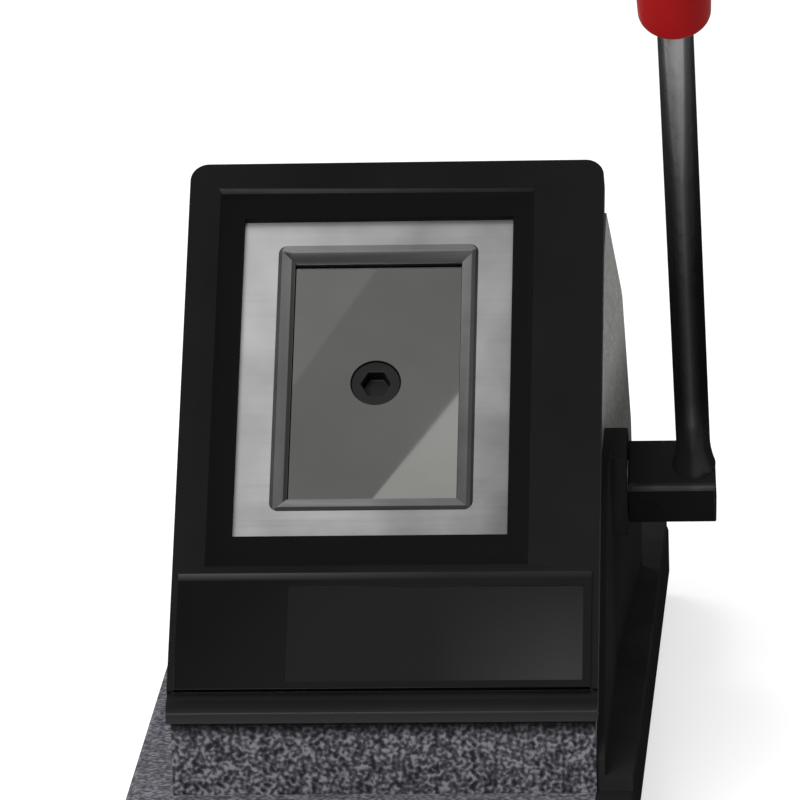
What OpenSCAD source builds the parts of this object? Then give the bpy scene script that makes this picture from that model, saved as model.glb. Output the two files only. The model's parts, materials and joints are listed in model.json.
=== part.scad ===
// Lever-operated ID photo cutter: a sheet goes into the slot behind the sloping front, and a pull on the
// lever drives a punch forward through the die by a pinion and a rack.
// Millimetres. X to the right, Y to the back, Z up. The origin is under the middle of the base, on the bench.

/* [Card and die] */
// Width of the card that is cut
card_w = 54; // [45:0.5:60]
// Length of the card that is cut
card_l = 86; // [75:0.5:95]
// Gap between punch and die on each side
cut_gap = 0.1; // [0.05:0.01:0.2]
// Width of the bevel on the sides of the die's mouth
mouth_bevel_w = 5.4; // [3:0.1:6]
// Width of the bevel on the ends of the die's mouth
mouth_bevel_l = 5.5; // [3:0.1:7]
// Corner radius of the die's mouth
mouth_r = 3; // [1:0.1:4]
// Width of the steep step round the die's mouth
step_w = 1; // [0.6:0.1:1.6]
// Depth of that step
step_d = 1.4; // [1:0.1:1.8]
// Straight cutting land of the die
land = 0.8; // [0.4:0.1:1.4]
// Bright die rim shown at the sides of the mouth
rim_w = 11.25; // [9:0.05:14]
// Bright die rim shown above the mouth
rim_l = 8.75; // [7:0.05:11]
// Bright die rim shown below the mouth
rim_low = 10.4; // [8:0.05:12]
// How far the die plate reaches behind the frame's lip
die_tuck = 6; // [4:0.5:7]
// Thickness of the die plate
die_t = 3.2; // [2.6:0.1:4]

/* [Front panel] */
// Angle of the front above the bench
slope = 45; // [40:1:50]
// Black border left of the recess
border_left = 10.15; // [9:0.05:14]
// Black border right of the recess
border_right = 22.35; // [18:0.05:26]
// Black border above the recess
border_top = 10.6; // [8:0.1:14]
// Recess floor shown left of the die
recess_left = 7.9; // [7:0.1:10]
// Recess floor shown right of the die
recess_right = 6.9; // [6.5:0.1:10]
// Recess floor shown above the die
recess_top = 8.8; // [7:0.1:11]
// Recess floor shown below the die
recess_bottom = 11.75; // [9:0.05:16]
// Depth of the bevelled recess
recess_d = 2.2; // [1.4:0.1:2.6]
// Thickness of the lip that holds the die plate
lip_t = 2.8; // [2.2:0.1:3.4]
// Radius of the frame's upper corners
frame_r = 6; // [3:0.5:9]
// Length of the lower cover along the slope
cover_l = 41; // [34:0.5:46]
// Gap between the lower cover and the recess
cover_gap = 2.6; // [1.5:0.1:4]
// Inset of the lower cover from the sides of the frame
cover_side = 2.2; // [1.5:0.1:4]
// Depth of the lower cover's seat in the frame
cover_seat = 1; // [0.6:0.1:1.4]
// How far the lower cover stands proud
cover_proud = 1.2; // [0.8:0.1:1.8]
// Width of the bare name field in the lower cover
field_w = 93; // [70:1:98]
// Length of the bare name field along the slope
field_l = 33; // [24:0.5:33.5]
// Depth of the bare name field
field_d = 0.4; // [0.3:0.1:0.9]
// Inset of the name field from the right side and lower edge of the cover
field_inset = 2.5; // [1.5:0.1:4]
// Rim along the frame's lower edge
toe_rim = 4.5; // [3:0.1:6]
// Height of the upright nose under the frame's lower edge
nose_h = 3.4; // [2:0.1:4.5]
// Groove between the rim and the lower cover
toe_groove = 3.5; // [2:0.1:5]
// Depth of that groove
groove_d = 1.4; // [0.8:0.1:2]

/* [Bed and ram] */
// Thickness of the bed plate
bed_t = 9; // [8.5:0.1:11]
// Inset of the bed plate from the sides of the frame
bed_inset = 0.5; // [0.2:0.1:1]
// Height of the bed plate's lower end above the frame's lower edge
bed_low = 9; // [7:0.5:11]
// Height of the slot for the sheet
slot_h = 1; // [0.6:0.1:1.4]
// Width of the slot on each side of the card
slot_side = 23; // [18:0.5:24]
// Depth of the slot below the card
slot_stop = 4; // [2:0.5:8]
// Distance of the resting punch behind the slot
punch_rest = 0.2; // [0.1:0.05:0.4]
// Length of the punch
punch_l = 26; // [24:0.5:30]
// Gap between punch and bed plate
strip_gap = 0.3; // [0.2:0.05:0.5]
// Thickness of the ram plate
ram_t = 7; // [6.5:0.5:9]
// Margin of the ram plate above and below the punch
ram_end = 5; // [3:0.5:6]
// Margin of the ram plate outside its bushes
ram_edge = 2.5; // [2:0.1:4]
// Diameter of a guide post
post_d = 10; // [8:0.5:11]
// Distance of the posts from the ends of the punch
post_in = 13; // [10:0.5:16]
// Depth of a post's seat in the bed plate
post_seat = 7; // [6:0.1:7.4]
// Running clearance of posts and shafts, radial
run_gap = 0.05; // [0.02:0.01:0.09]
// Wall of a guide bush
bush_wall = 1.5; // [1.2:0.1:2]
// Width across flats of a post nut
nut_af = 17; // [16:0.5:18]
// Thickness of a post nut
nut_t = 5; // [4:0.5:6]
// Wire of a return spring
spring_wire = 1.6; // [1.2:0.1:1.8]
// Mean diameter of a return spring
spring_d = 14; // [13.5:0.1:15]
// Turns of a return spring
spring_turns = 4.5; // [3.5:0.5:5]
// Gap between the springs and the punch
spring_side = 1.2; // [0.8:0.1:2]
// Diameter of the punch screw's head
screw_head = 16; // [14:0.5:18]
// Diameter of the punch screw's thread
screw_d = 10; // [8:0.5:10]
// Length of the punch screw's head
screw_head_l = 10; // [8:0.5:12]
// Depth of that head below the punch's face
screw_sink = 0.5; // [0.2:0.1:1]

/* [Drive] */
// Gear module of pinion and rack
gear_m = 1.25; // [1.2:0.05:1.4]
// Teeth of the pinion
teeth = 18; // [18:1:20]
// Backlash between pinion and rack
backlash = 0.14; // [0.1:0.02:0.2]
// Width of the pinion
pinion_w = 18; // [14:1:20]
// Length of the pinion's hub
pinion_hub = 10; // [8:1:12]
// Step between the tooth roots and the pinion's hub
pinion_step = 0.5; // [0.3:0.1:0.8]
// Gap between the pinion and the ram plate
pinion_gap = 0.5; // [0.4:0.1:1]
// Width of the rack
rack_w = 20; // [18:1:22]
// Thickness of the rack behind its teeth
rack_h = 14; // [11:0.5:16]
// Distance of the rack's pitch line below the middle of the punch
rack_low = 1.05; // [0.5:0.05:2]
// Distance of the rack's screws from its outer side
rack_screw_in = 5.5; // [4.5:0.1:6]
// Gap between the heads of the rack's screws
rack_screw_gap = 2; // [1.6:0.1:3]
// Diameter of the shaft
shaft_d = 14; // [12:0.5:15]
// Diameter of the shaft's end in the hub
tail_d = 11; // [9:0.5:11.5]
// Wall of a shaft bush
shaft_bush_wall = 3; // [2:0.5:4]
// Width and thickness of a shaft bush's flange
bush_flange = 3; // [2:0.5:4]
// Gap between the shaft's end and the rod's seat
tail_gap = 1; // [0.6:0.1:2]
// Diameter of the shaft collar
collar_d = 26; // [22:1:30]
// Width of the shaft collar
collar_w = 9; // [8:0.5:12]
// Diameter of the cross pins
pin_d = 4; // [3:0.5:4.5]

/* [Lever] */
// Lean of the resting lever from upright
lever_lean = 34; // [25:1:40]
// Swing of the lever from rest to full cut
lever_swing = 46; // [40:1:50]
// Length of the hub block along the shaft
hub_l = 28.3; // [26:0.1:32]
// Depth of the hub block
hub_d = 20; // [18:0.5:23]
// Height of the hub block
hub_h = 18; // [16.5:0.5:21]
// Cut on the hub's rear outer corner along the shaft
hub_cut_l = 3; // [1:0.1:3.5]
// Cut on the hub's rear outer corner along its depth
hub_cut_d = 10; // [6:0.5:12]
// Gap between the hub and the bracket
hub_gap = 0.3; // [0.2:0.1:0.6]
// Diameter of the rod
rod_d = 11; // [9:0.5:12]
// Distance of the rod from the hub's outer end
rod_in = 6.9; // [6.7:0.1:11]
// Depth of the rod in the hub
rod_seat = 14; // [10:0.5:15]
// Height of the weld flare at the rod's foot
flare_h = 6; // [4:0.5:8]
// Width of that flare
flare_w = 1.2; // [0.8:0.1:1.4]
// Distance from the shaft to the lower end of the grip
grip_at = 221; // [180:1:240]
// Length of the grip
grip_l = 105; // [90:1:125]
// Diameter of the grip at its lower end
grip_d0 = 22; // [19:0.5:24]
// Greatest diameter of the grip
grip_d1 = 26.5; // [24.5:0.5:30]
// Rounding of the grip's lower end
grip_r = 3; // [2:0.5:4]
// Length of rod inside the grip
grip_bore = 85; // [60:1:88]

/* [Housing and base] */
// Wall of the housing
wall = 5; // [4:0.5:6]
// Inset of the housing's front from the sides of the frame
housing_inset = 0.85; // [0.6:0.05:1.5]
// How far each side flares out towards the back
flare_out = 5; // [3:0.5:6]
// Distance of the flare's start in front of the roof's upper edge
flare_lead = 20; // [10:1:30]
// Distance of the roof's upper edge below the frame's top
roof_drop = 10; // [6:0.5:14]
// Run of the roof to the shoulder
roof_run = 50; // [40:1:60]
// Fall of the roof to the shoulder
roof_fall = 41; // [34:1:48]
// Run of the leaning back below the shoulder
back_run = 23; // [15:1:30]
// Fall of the leaning back below the shoulder
back_fall = 51; // [44:1:58]
// Run of the upright part of the back
back_draft = 3; // [1:0.5:5]
// Rounding of the shoulder
shoulder_r = 14; // [6:1:24]
// Width of the ledge under the bed plate's lower end
ledge = 10; // [9:0.5:12]
// Room round the heads of the screws in the upper ledge
ledge_room = 1.5; // [1:0.1:2.5]
// Height of the front's lower edge above the base
front_lift = 28.7; // [26:0.1:36]
// Length of base in front of the panel
base_front = 32; // [20:1:45]
// Length of base behind the housing
base_back = 68; // [40:1:80]
// Width of base beside the housing on the left
base_side = 10.1; // [9:0.1:16]
// Width of base beside the housing on the right, halfway along
base_side_right = 8.05; // [7.9:0.05:16]
// How much the right side of the base narrows towards the front
base_taper = 3.7; // [0:0.1:4]
// Thickness of the base
base_t = 18; // [14:1:22]
// Corner radius of the base
base_r = 8; // [4:1:12]
// Wall of the housing's screw lugs
lug_wall = 4; // [3:0.5:5]
// How far a screw lug reaches into the housing's walls
lug_bite = 1; // [0.5:0.1:2]
// Diameter of a foot
foot_d = 28; // [22:1:32]
// Height of a foot
foot_h = 8; // [6:0.5:12]
// Taper of a foot on each side
foot_taper = 2; // [1:0.5:3]
// Room round the head of a foot's screw
foot_room = 1; // [0.5:0.1:2]
// Height of that screw's head
foot_head = 2.5; // [2:0.1:2.8]
// Distance of a foot's middle from the edges of the base
foot_in = 26; // [22:1:32]

/* [Bracket] */
// Thickness of the bracket's side plate
bracket_t = 2.5; // [2:0.1:3]
// Outer radius of the bearing boss
boss_r = 17.5; // [15:0.5:19]
// How far the boss stands out of the housing
boss_out = 7.3; // [6:0.1:9]
// Thickness of the bracket's foot
strip_t = 5; // [4.5:0.5:7]
// Gap between the foot and the edge of the base
strip_in = 0.5; // [0.2:0.1:1.5]
// Distance of the foot's screws from its outer edge
strip_edge = 4.8; // [4.4:0.1:5]
// Gap between the foot's end and the back of the base
strip_end = 10; // [6:1:30]
// Height of the bracket's rear end above the base
bracket_tail = 46; // [36:1:52]
// Gap between the bracket and the bed plate
bracket_gap = 0.5; // [0.3:0.1:1]

/* [Fasteners] */
// Thread of the small screws
small_d = 4; // [3:0.5:4]
// Thread of the base screws
large_d = 5; // [4:0.5:5.5]
// Head diameter for each millimetre of thread
head_ratio = 1.75; // [1.6:0.05:1.9]
// Width of the hexagon socket for each millimetre of thread
socket_ratio = 0.95; // [0.8:0.05:1]
// How far screws reach into what they hold
grip_in = 6; // [5:0.1:6]
// Room at the end of a blind hole
hole_spare = 0.4; // [0.2:0.1:0.6]

/* [Hidden] */
$fn = 48;
// Overshoot of cutting shapes
eps = 1;

// Panel sizes, built up from the card
mouth_w = card_w + 2 * mouth_bevel_w;
mouth_l = card_l + 2 * mouth_bevel_l;
window_w = mouth_w + 2 * rim_w;
window_l = mouth_l + rim_l + rim_low;
die_w = window_w + 2 * die_tuck;
die_l = window_l + 2 * die_tuck;
recess_w = window_w + recess_left + recess_right;
recess_l = window_l + recess_top + recess_bottom;
panel_w = recess_w + border_left + border_right;
cover_at = toe_rim + toe_groove;
recess_at = cover_at + cover_l + cover_gap;
panel_l = recess_at + recess_l + border_top;
die_x = -panel_w / 2 + border_left + recess_left + window_w / 2;
window_s = recess_at + recess_bottom + window_l / 2;
die_s = recess_at + recess_bottom + rim_low + mouth_l / 2;
recess_x = -panel_w / 2 + border_left + recess_w / 2;
recess_s = recess_at + recess_l / 2;
cover_w = panel_w - 2 * cover_side;

// Depths behind the panel's face
die_front = recess_d + lip_t;
frame_t = die_front + die_t;
slot_back = frame_t + slot_h;
bed_back = frame_t + bed_t;
bed_w = panel_w - 2 * bed_inset;
punch_face = slot_back + punch_rest;
punch_back = punch_face + punch_l;
ram_back = punch_back + ram_t;

// Guide posts
bush_d = post_d + 2 * bush_wall;
post_dx = card_w / 2 + spring_side + (spring_d + spring_wire) / 2;
post_ds = card_l / 2 - post_in;
post_xy = [for (i = [-1, 1], j = [-1, 1]) [die_x + i * post_dx, die_s + j * post_ds]];
post_end = ram_back + nut_t + eps;
ram_w = 2 * (post_dx + bush_d / 2 + ram_edge);
ram_l = card_l + 2 * ram_end;

// Pinion and rack
pitch_r = gear_m * teeth / 2;
tip_r = pitch_r + gear_m;
root_r = pitch_r - 1.25 * gear_m;
pressure = 20;
pinion_hub_d = 2 * (root_r - pinion_step);
base_circle = pitch_r * cos(pressure);
tooth_pitch = PI * gear_m;
shaft_depth = ram_back + tip_r + pinion_gap;
pitch_s = die_s - rack_low;
shaft_s = pitch_s - pitch_r;
travel = pitch_r * lever_swing * PI / 180;
teeth_ahead = 2;
teeth_behind = ceil(travel / tooth_pitch) + 3;

// Side profile of the housing
function slope_y(s, d) = s * cos(slope) + d * sin(slope);
function slope_z(s, d) = s * sin(slope) - d * cos(slope);
roof_s = panel_l - roof_drop;
rear_run = slope_y(roof_s, bed_back) + roof_run + back_run + back_draft;
base_l = base_front + rear_run + base_back;
base_top = foot_h + base_t;
panel_y = base_front - base_l / 2;
panel_z = base_top + front_lift;
function depth_at(p) = (p[0] - panel_y) * sin(slope) - (p[1] - panel_z) * cos(slope);
function slope_pt(s, d) = [panel_y + slope_y(s, d), panel_z + slope_z(s, d)];
front_y = slope_pt(0, frame_t)[0];
roof_pt = slope_pt(roof_s, bed_back);
shoulder_pt = roof_pt + [roof_run, -roof_fall];
knee_pt = shoulder_pt + [back_run, -back_fall];
rear_y = knee_pt[0] + back_draft;
shaft_pt = slope_pt(shaft_s, shaft_depth);

// Plan of the housing
front_half = panel_w / 2 - housing_inset;
rear_half = front_half + flare_out;
flare_y = roof_pt[0] - flare_lead;
function side_at(y) = front_half + flare_out * max(0, y - flare_y) / (rear_y - flare_y);
base_left = rear_half + base_side;
function base_right(y) = rear_half + base_side_right + base_taper * y / base_l;

// Places along the shaft
boss_face = front_half + boss_out;
hub_x = boss_face + hub_gap;
rod_x = hub_x + hub_l - rod_in;
tail_end = rod_x - rod_d / 2 - tail_gap;
inner_half = front_half - wall;
right_bush_x = inner_half - bush_flange;
collar_x = right_bush_x - hub_gap - collar_w;
pinion_x = die_x - pinion_w / 2;
shaft_bush_d = shaft_d + 2 * shaft_bush_wall;

// Screw patterns
small_head = small_d * head_ratio;
large_head = large_d * head_ratio;
frame_screw_x = [(die_x - die_w / 2 - bed_w / 2) / 2, (die_x + die_w / 2 + bed_w / 2) / 2];
frame_screw_s = [bed_low + ledge + small_head, die_s, panel_l - roof_drop / 2 - small_head / 2];
frame_screw_xy = [for (x = frame_screw_x, s = frame_screw_s) [x, s]];
bed_screw_x = inner_half - small_head / 2 - ledge_room;
roof_ledge = wall + small_head + 2 * ledge_room;
bed_screw_s = [bed_low + ledge / 2, roof_s - roof_ledge + ledge_room + small_head / 2];
bed_screw_xy = [for (x = [-1, 1], s = bed_screw_s) [x * bed_screw_x, s]];
lug_r = large_d / 2 + lug_wall;
lug_h = grip_in + large_d * 2;
lug_in = wall + lug_r - lug_bite;
lug_xy = [for (i = [-1, 1], y = [front_y + lug_in, rear_y - lug_in]) [i * (side_at(y) - lug_in), y]];
foot_xy = [for (i = [-1, 1], j = [-1, 1]) [i * (base_left - foot_in), j * (base_l / 2 - foot_in)]];
function strip_side(y) = base_right(y) - strip_in;
strip_y0 = front_y + eps;
strip_y1 = base_l / 2 - strip_end;
strip_screw_at = [0.1, 0.5, 0.9];
strip_screws = [for (k = strip_screw_at) let (y = strip_y0 + k * (strip_y1 - strip_y0))
  [strip_side(y) - strip_edge, y]];
rack_screw_dx = (large_head + rack_screw_gap) / 2;
rack_screw_s = pitch_s + rack_h + gear_m - rack_screw_in;

// Frame of the sloping front: X across, Y up the slope, Z out of the face; d is the depth behind the face
module on_slope(x = 0, s = 0, d = 0) {
  translate([0, panel_y, panel_z]) rotate([slope, 0, 0]) translate([x, s, -d]) children();
}

// Frame of the lever: X along the shaft, Z along the rod
module on_lever() {
  translate([0, shaft_pt[0], shaft_pt[1]]) rotate([lever_lean, 0, 0]) children();
}

// Extrudes a side profile, drawn as Y and Z, from x0 to x1
module across(x0, x1) {
  translate([x0, 0, 0]) rotate([90, 0, 90]) linear_extrude(x1 - x0) children();
}

// Round bar along X about the shaft
module shaft_bar(x0, x1, d) {
  translate([x0, shaft_pt[0], shaft_pt[1]]) rotate([0, 90, 0]) cylinder(d = d, h = x1 - x0);
}

// Rectangle about the origin with round corners
module round_rect(w, l, r) {
  square([w - 2 * r, l], center = true);
  square([w, l - 2 * r], center = true);
  for (i = [-1, 1], j = [-1, 1]) translate([i * (w / 2 - r), j * (l / 2 - r)]) circle(r);
}

// Cutter that narrows with depth: each row is a width, a length and a depth; it goes on above the first row
module bevelled(rows) {
  top = rows[0] + (rows[0] - rows[1]) * eps / (rows[1][2] - rows[0][2]);
  all = concat([top], rows);
  back = [for (k = [len(all) - 1:-1:0]) all[k]];
  intersection() {
    rotate([90, 0, 0]) linear_extrude(top[0] + top[1], center = true)
      polygon(concat([for (r = all) [r[0] / 2, -r[2]]], [for (r = back) [-r[0] / 2, -r[2]]]));
    rotate([90, 0, 90]) linear_extrude(top[0] + top[1], center = true)
      polygon(concat([for (r = all) [r[1] / 2, -r[2]]], [for (r = back) [-r[1] / 2, -r[2]]]));
  }
}

// Outline of the front frame and the bed plate from s0 up, with round upper corners
module panel_outline(w, s0) {
  translate([-w / 2, s0]) square([w, panel_l - s0 - frame_r]);
  translate([-w / 2 + frame_r, panel_l - 2 * frame_r]) square([w - 2 * frame_r, 2 * frame_r]);
  for (i = [-1, 1]) translate([i * (w / 2 - frame_r), panel_l - frame_r]) circle(frame_r);
}

// Socket-head screw along Z: the head on top of z = 0, the thread below it
module cap_screw(d, l) {
  difference() {
    cylinder(d = d * head_ratio, h = d);
    translate([0, 0, d / 2]) cylinder(d = d * socket_ratio, h = d, $fn = 6);
  }
  translate([0, 0, -l]) cylinder(d = d, h = l);
}

// Points of the arc that rounds corner p between its neighbours a and b
function unit(v) = v / norm(v);
function arc_between(c, r, a0, a1, n) =
  let (turn = (a1 - a0 + 540) % 360 - 180)
  [for (i = [0:n]) c + r * [cos(a0 + turn * i / n), sin(a0 + turn * i / n)]];
function rounded(a, p, b, r, n = 8) =
  let (u = unit(a - p), v = unit(b - p), half = acos(u * v) / 2, c = p + unit(u + v) * r / sin(half),
       from = p + u * r / tan(half) - c, to = p + v * r / tan(half) - c)
  arc_between(c, r, atan2(from[1], from[0]), atan2(to[1], to[0]), n);

// Half-angle of a pinion tooth at radius q, from the involute
function inv(q) = let (a = acos(min(1, base_circle / q))) tan(a) * 180 / PI - a;
function tooth_half(q) = 90 / teeth - backlash / (2 * pitch_r) * 180 / PI + inv(pitch_r) - inv(q);
function flank_radii() = [root_r, for (k = [0:5]) max(root_r, base_circle) + (tip_r - base_circle) * k / 5];
function polar(q, a) = q * [cos(a), sin(a)];

// Pinion outline with a tooth on the +X axis
module pinion_outline() {
  q = flank_radii();
  n = len(q) - 1;
  polygon([for (k = [0:teeth - 1]) each [
    for (i = [0:n]) polar(q[i], 360 * k / teeth - tooth_half(max(q[i], base_circle))),
    for (i = [n:-1:0]) polar(q[i], 360 * k / teeth + tooth_half(max(q[i], base_circle)))]]);
}

// Rack outline: X up the slope from the pitch line, Y along the ram's travel with a gap at 0
module rack_outline(y0, y1) {
  lean = tan(pressure);
  foot = tooth_pitch / 4 + 1.25 * gear_m * lean;
  tip = tooth_pitch / 4 - gear_m * lean;
  gaps = [for (k = [-teeth_behind:teeth_ahead - 1]) (k + 0.5) * tooth_pitch];
  polygon(concat([[rack_h + gear_m, y1], [rack_h + gear_m, y0], [1.25 * gear_m, y0]],
    [for (c = gaps) each [[1.25 * gear_m, c - foot], [-gear_m, c - tip],
                          [-gear_m, c + tip], [1.25 * gear_m, c + foot]]],
    [[1.25 * gear_m, y1]]));
}

// Side profile of the housing
module housing_profile() {
  shoulder = rounded(roof_pt, shoulder_pt, knee_pt, shoulder_r);
  knee = rounded(shoulder_pt, knee_pt, [rear_y, base_top], shoulder_r);
  polygon(concat([[front_y, base_top], slope_pt(0, frame_t), slope_pt(bed_low, frame_t),
                  slope_pt(bed_low, bed_back), roof_pt], shoulder, knee, [[rear_y, base_top]]));
}

// Side profile of the hollow, with openings to the bed plate and the base
module hollow_profile() {
  fall = unit(shoulder_pt - roof_pt);
  lean = unit(knee_pt - shoulder_pt);
  roof_in = roof_pt + wall * [fall[1], -fall[0]];
  lean_in = knee_pt + wall * [lean[1], -lean[0]];
  // Meeting point of the inner roof and the inner leaning back
  gap = lean_in - roof_in;
  k = (gap[0] * lean[1] - gap[1] * lean[0]) / (fall[0] * lean[1] - fall[1] * lean[0]);
  corner = roof_in + k * fall;
  deep = bed_back + wall;
  front_in = front_y + wall;
  low_z = panel_z + (front_in - panel_y) * tan(slope) - deep / cos(slope);
  // Where the inner roof meets the back of the upper ledge
  top = roof_in + fall * (deep - depth_at(roof_in)) / (fall[0] * sin(slope) - fall[1] * cos(slope));
  polygon([[front_in, base_top - eps], [front_in, low_z], slope_pt(bed_low + ledge, deep),
           slope_pt(bed_low + ledge, bed_back - eps), slope_pt(roof_s - roof_ledge, bed_back - eps),
           slope_pt(roof_s - roof_ledge, deep), top, corner, lean_in, [rear_y - wall, base_top - eps]]);
}

// Plan of the housing, moved inwards by t, from y0 to y1
module housing_plan(t, y0, y1) {
  half = front_half - t;
  flared = side_at(y1) - t;
  polygon([[-half, y0], [half, y0], [half, flare_y], [flared, y1], [-flared, y1], [-half, flare_y]]);
}

// Outline of the base with round corners; its right side narrows towards the front
module base_outline() {
  end = base_l / 2;
  corners = [[-base_left, -end], [base_right(-end), -end], [base_right(end), end], [-base_left, end]];
  polygon([for (k = [0:3]) each rounded(corners[(k + 3) % 4], corners[k], corners[(k + 1) % 4], base_r)]);
}

module base_plate() {
  color("#63666a") difference() {
    translate([0, 0, foot_h]) linear_extrude(base_t) base_outline();
    for (p = concat(lug_xy, strip_screws)) translate([p[0], p[1], foot_h]) {
      translate([0, 0, -eps]) cylinder(d = large_head, h = large_d + eps);
      translate([0, 0, -eps]) cylinder(d = large_d, h = base_t + 2 * eps);
    }
    for (p = foot_xy) translate([p[0], p[1], foot_h - eps]) cylinder(d = large_d, h = base_t / 2 + eps);
  }
}

module rubber_feet() {
  color("#1c1c1e") for (p = foot_xy) translate([p[0], p[1], 0]) rotate_extrude()
    polygon([[large_head / 2 + foot_room, 0], [foot_d / 2 - foot_taper, 0], [foot_d / 2, foot_h],
             [large_d / 2, foot_h], [large_d / 2, foot_h / 2], [large_head / 2 + foot_room, foot_h / 2]]);
}

module foot_screws() {
  color("#8d9094") for (p = foot_xy) translate([p[0], p[1], foot_h / 2]) {
    translate([0, 0, -foot_head]) cylinder(d = large_head, h = foot_head);
    cylinder(d = large_d, h = foot_h / 2 + base_t / 2 - hole_spare);
  }
}

module housing() {
  color("#8a8b8a") difference() {
    union() {
      difference() {
        intersection() {
          across(-rear_half - eps, rear_half + eps) housing_profile();
          linear_extrude(panel_z + panel_l) housing_plan(0, front_y, rear_y);
        }
        intersection() {
          across(-rear_half, rear_half) hollow_profile();
          linear_extrude(panel_z + panel_l) housing_plan(wall, front_y, rear_y);
        }
      }
      for (p = lug_xy) translate([p[0], p[1], base_top]) cylinder(r = lug_r, h = lug_h);
    }
    for (p = lug_xy) translate([p[0], p[1], base_top - eps])
      cylinder(d = large_d, h = grip_in + large_d + hole_spare + eps);
    for (p = bed_screw_xy) on_slope(p[0], p[1], bed_back + wall + eps)
      cylinder(d = small_d, h = wall + 2 * eps);
    shaft_bar(-rear_half - eps, rear_half + eps, shaft_bush_d);
  }
}

module base_screws() {
  color("#3a3b3d") for (p = lug_xy) translate([p[0], p[1], foot_h + large_d]) mirror([0, 0, 1])
    cap_screw(large_d, base_t - large_d + grip_in + large_d);
}

// The frame's lower end is cut upright in front and level underneath
module front_frame() {
  color("#202022") difference() {
    on_slope(0, 0, frame_t) linear_extrude(frame_t) panel_outline(panel_w, -nose_h);
    translate([-panel_w, panel_y - panel_l, 0]) cube([2 * panel_w, panel_l, 2 * panel_z]);
    translate([-panel_w, panel_y - eps, 0]) cube([2 * panel_w, panel_l, panel_z - nose_h]);
    on_slope(recess_x, recess_s) bevelled([[recess_w, recess_l, 0],
      [recess_w - 2 * recess_d, recess_l - 2 * recess_d, recess_d]]);
    on_slope(die_x, window_s, frame_t / 2) cube([window_w, window_l, frame_t + 2 * eps], center = true);
    on_slope(die_x - die_w / 2, window_s - die_l / 2, frame_t + eps) cube([die_w, die_l, die_t + eps]);
    on_slope(-cover_w / 2, cover_at, cover_seat) cube([cover_w, cover_l, cover_seat + eps]);
    on_slope(-panel_w / 2 - eps, toe_rim, groove_d) cube([panel_w + 2 * eps, toe_groove, groove_d + eps]);
    for (p = frame_screw_xy) on_slope(p[0], p[1], frame_t + eps)
      cylinder(d = small_d, h = grip_in + hole_spare + eps);
  }
}

module lower_cover() {
  t = cover_seat + cover_proud;
  r = cover_proud;
  color("#18181a") on_slope(0, cover_at, cover_seat) difference() {
    translate([-cover_w / 2, 0, 0]) rotate([90, 0, 90]) linear_extrude(cover_w)
      polygon(concat([[0, 0], [cover_l, 0]], arc_between([cover_l - r, t - r], r, 0, 90, 8), [[0, t]]));
    translate([cover_w / 2 - field_inset - field_w, field_inset, t - field_d])
      cube([field_w, field_l, field_d + eps]);
  }
}

module die_plate() {
  hole_w = card_w + 2 * cut_gap;
  hole_l = card_l + 2 * cut_gap;
  color("#a6a7a8") difference() {
    on_slope(die_x - die_w / 2, window_s - die_l / 2, frame_t) cube([die_w, die_l, die_t]);
    on_slope(die_x, die_s, die_front) intersection() {
      bevelled([[mouth_w, mouth_l, 0], [mouth_w - 2 * step_w, mouth_l - 2 * step_w, step_d],
        [hole_w, hole_l, die_t - land]]);
      translate([0, 0, -die_t]) linear_extrude(die_t + eps) round_rect(mouth_w, mouth_l, mouth_r);
    }
    on_slope(die_x, die_s, die_front + die_t / 2) cube([hole_w, hole_l, die_t + 2 * eps], center = true);
  }
}

module bed_plate() {
  slot_w = card_w + 2 * slot_side;
  slot_s = die_s - card_l / 2 - slot_stop;
  hole_w = card_w + 2 * strip_gap;
  hole_l = card_l + 2 * strip_gap;
  color("#2a2a2c") difference() {
    on_slope(0, 0, bed_back) linear_extrude(bed_t) panel_outline(bed_w, bed_low);
    on_slope(die_x - slot_w / 2, slot_s, slot_back) cube([slot_w, panel_l, slot_h + eps]);
    on_slope(die_x, die_s, bed_back) cube([hole_w, hole_l, 4 * bed_t], center = true);
    for (p = post_xy) on_slope(p[0], p[1], bed_back + eps) cylinder(d = post_d, h = post_seat + eps);
    for (p = bed_screw_xy) on_slope(p[0], p[1], bed_back + eps)
      cylinder(d = small_d, h = grip_in + hole_spare + eps);
    for (p = frame_screw_xy) on_slope(p[0], p[1], bed_back + eps) {
      cylinder(d = small_head, h = small_d + eps);
      cylinder(d = small_d, h = bed_t + 2 * eps);
    }
  }
}

module frame_screws() {
  color("#3a3b3d") for (p = frame_screw_xy) on_slope(p[0], p[1], bed_back - small_d) mirror([0, 0, 1])
    cap_screw(small_d, bed_t - small_d + grip_in);
}

module bed_screws() {
  color("#3a3b3d") for (p = bed_screw_xy) on_slope(p[0], p[1], bed_back + wall) mirror([0, 0, 1])
    cap_screw(small_d, wall + grip_in);
}

module guide_posts() {
  color("#b9bbbd") for (p = post_xy) on_slope(p[0], p[1], post_end)
    cylinder(d = post_d, h = post_end - bed_back + post_seat);
}

module post_nuts() {
  color("#8d9094") for (p = post_xy) on_slope(p[0], p[1], ram_back + nut_t) difference() {
    cylinder(d = nut_af / cos(30), h = nut_t, $fn = 6);
    translate([0, 0, -eps]) cylinder(d = post_d, h = nut_t + 2 * eps);
  }
}

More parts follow.
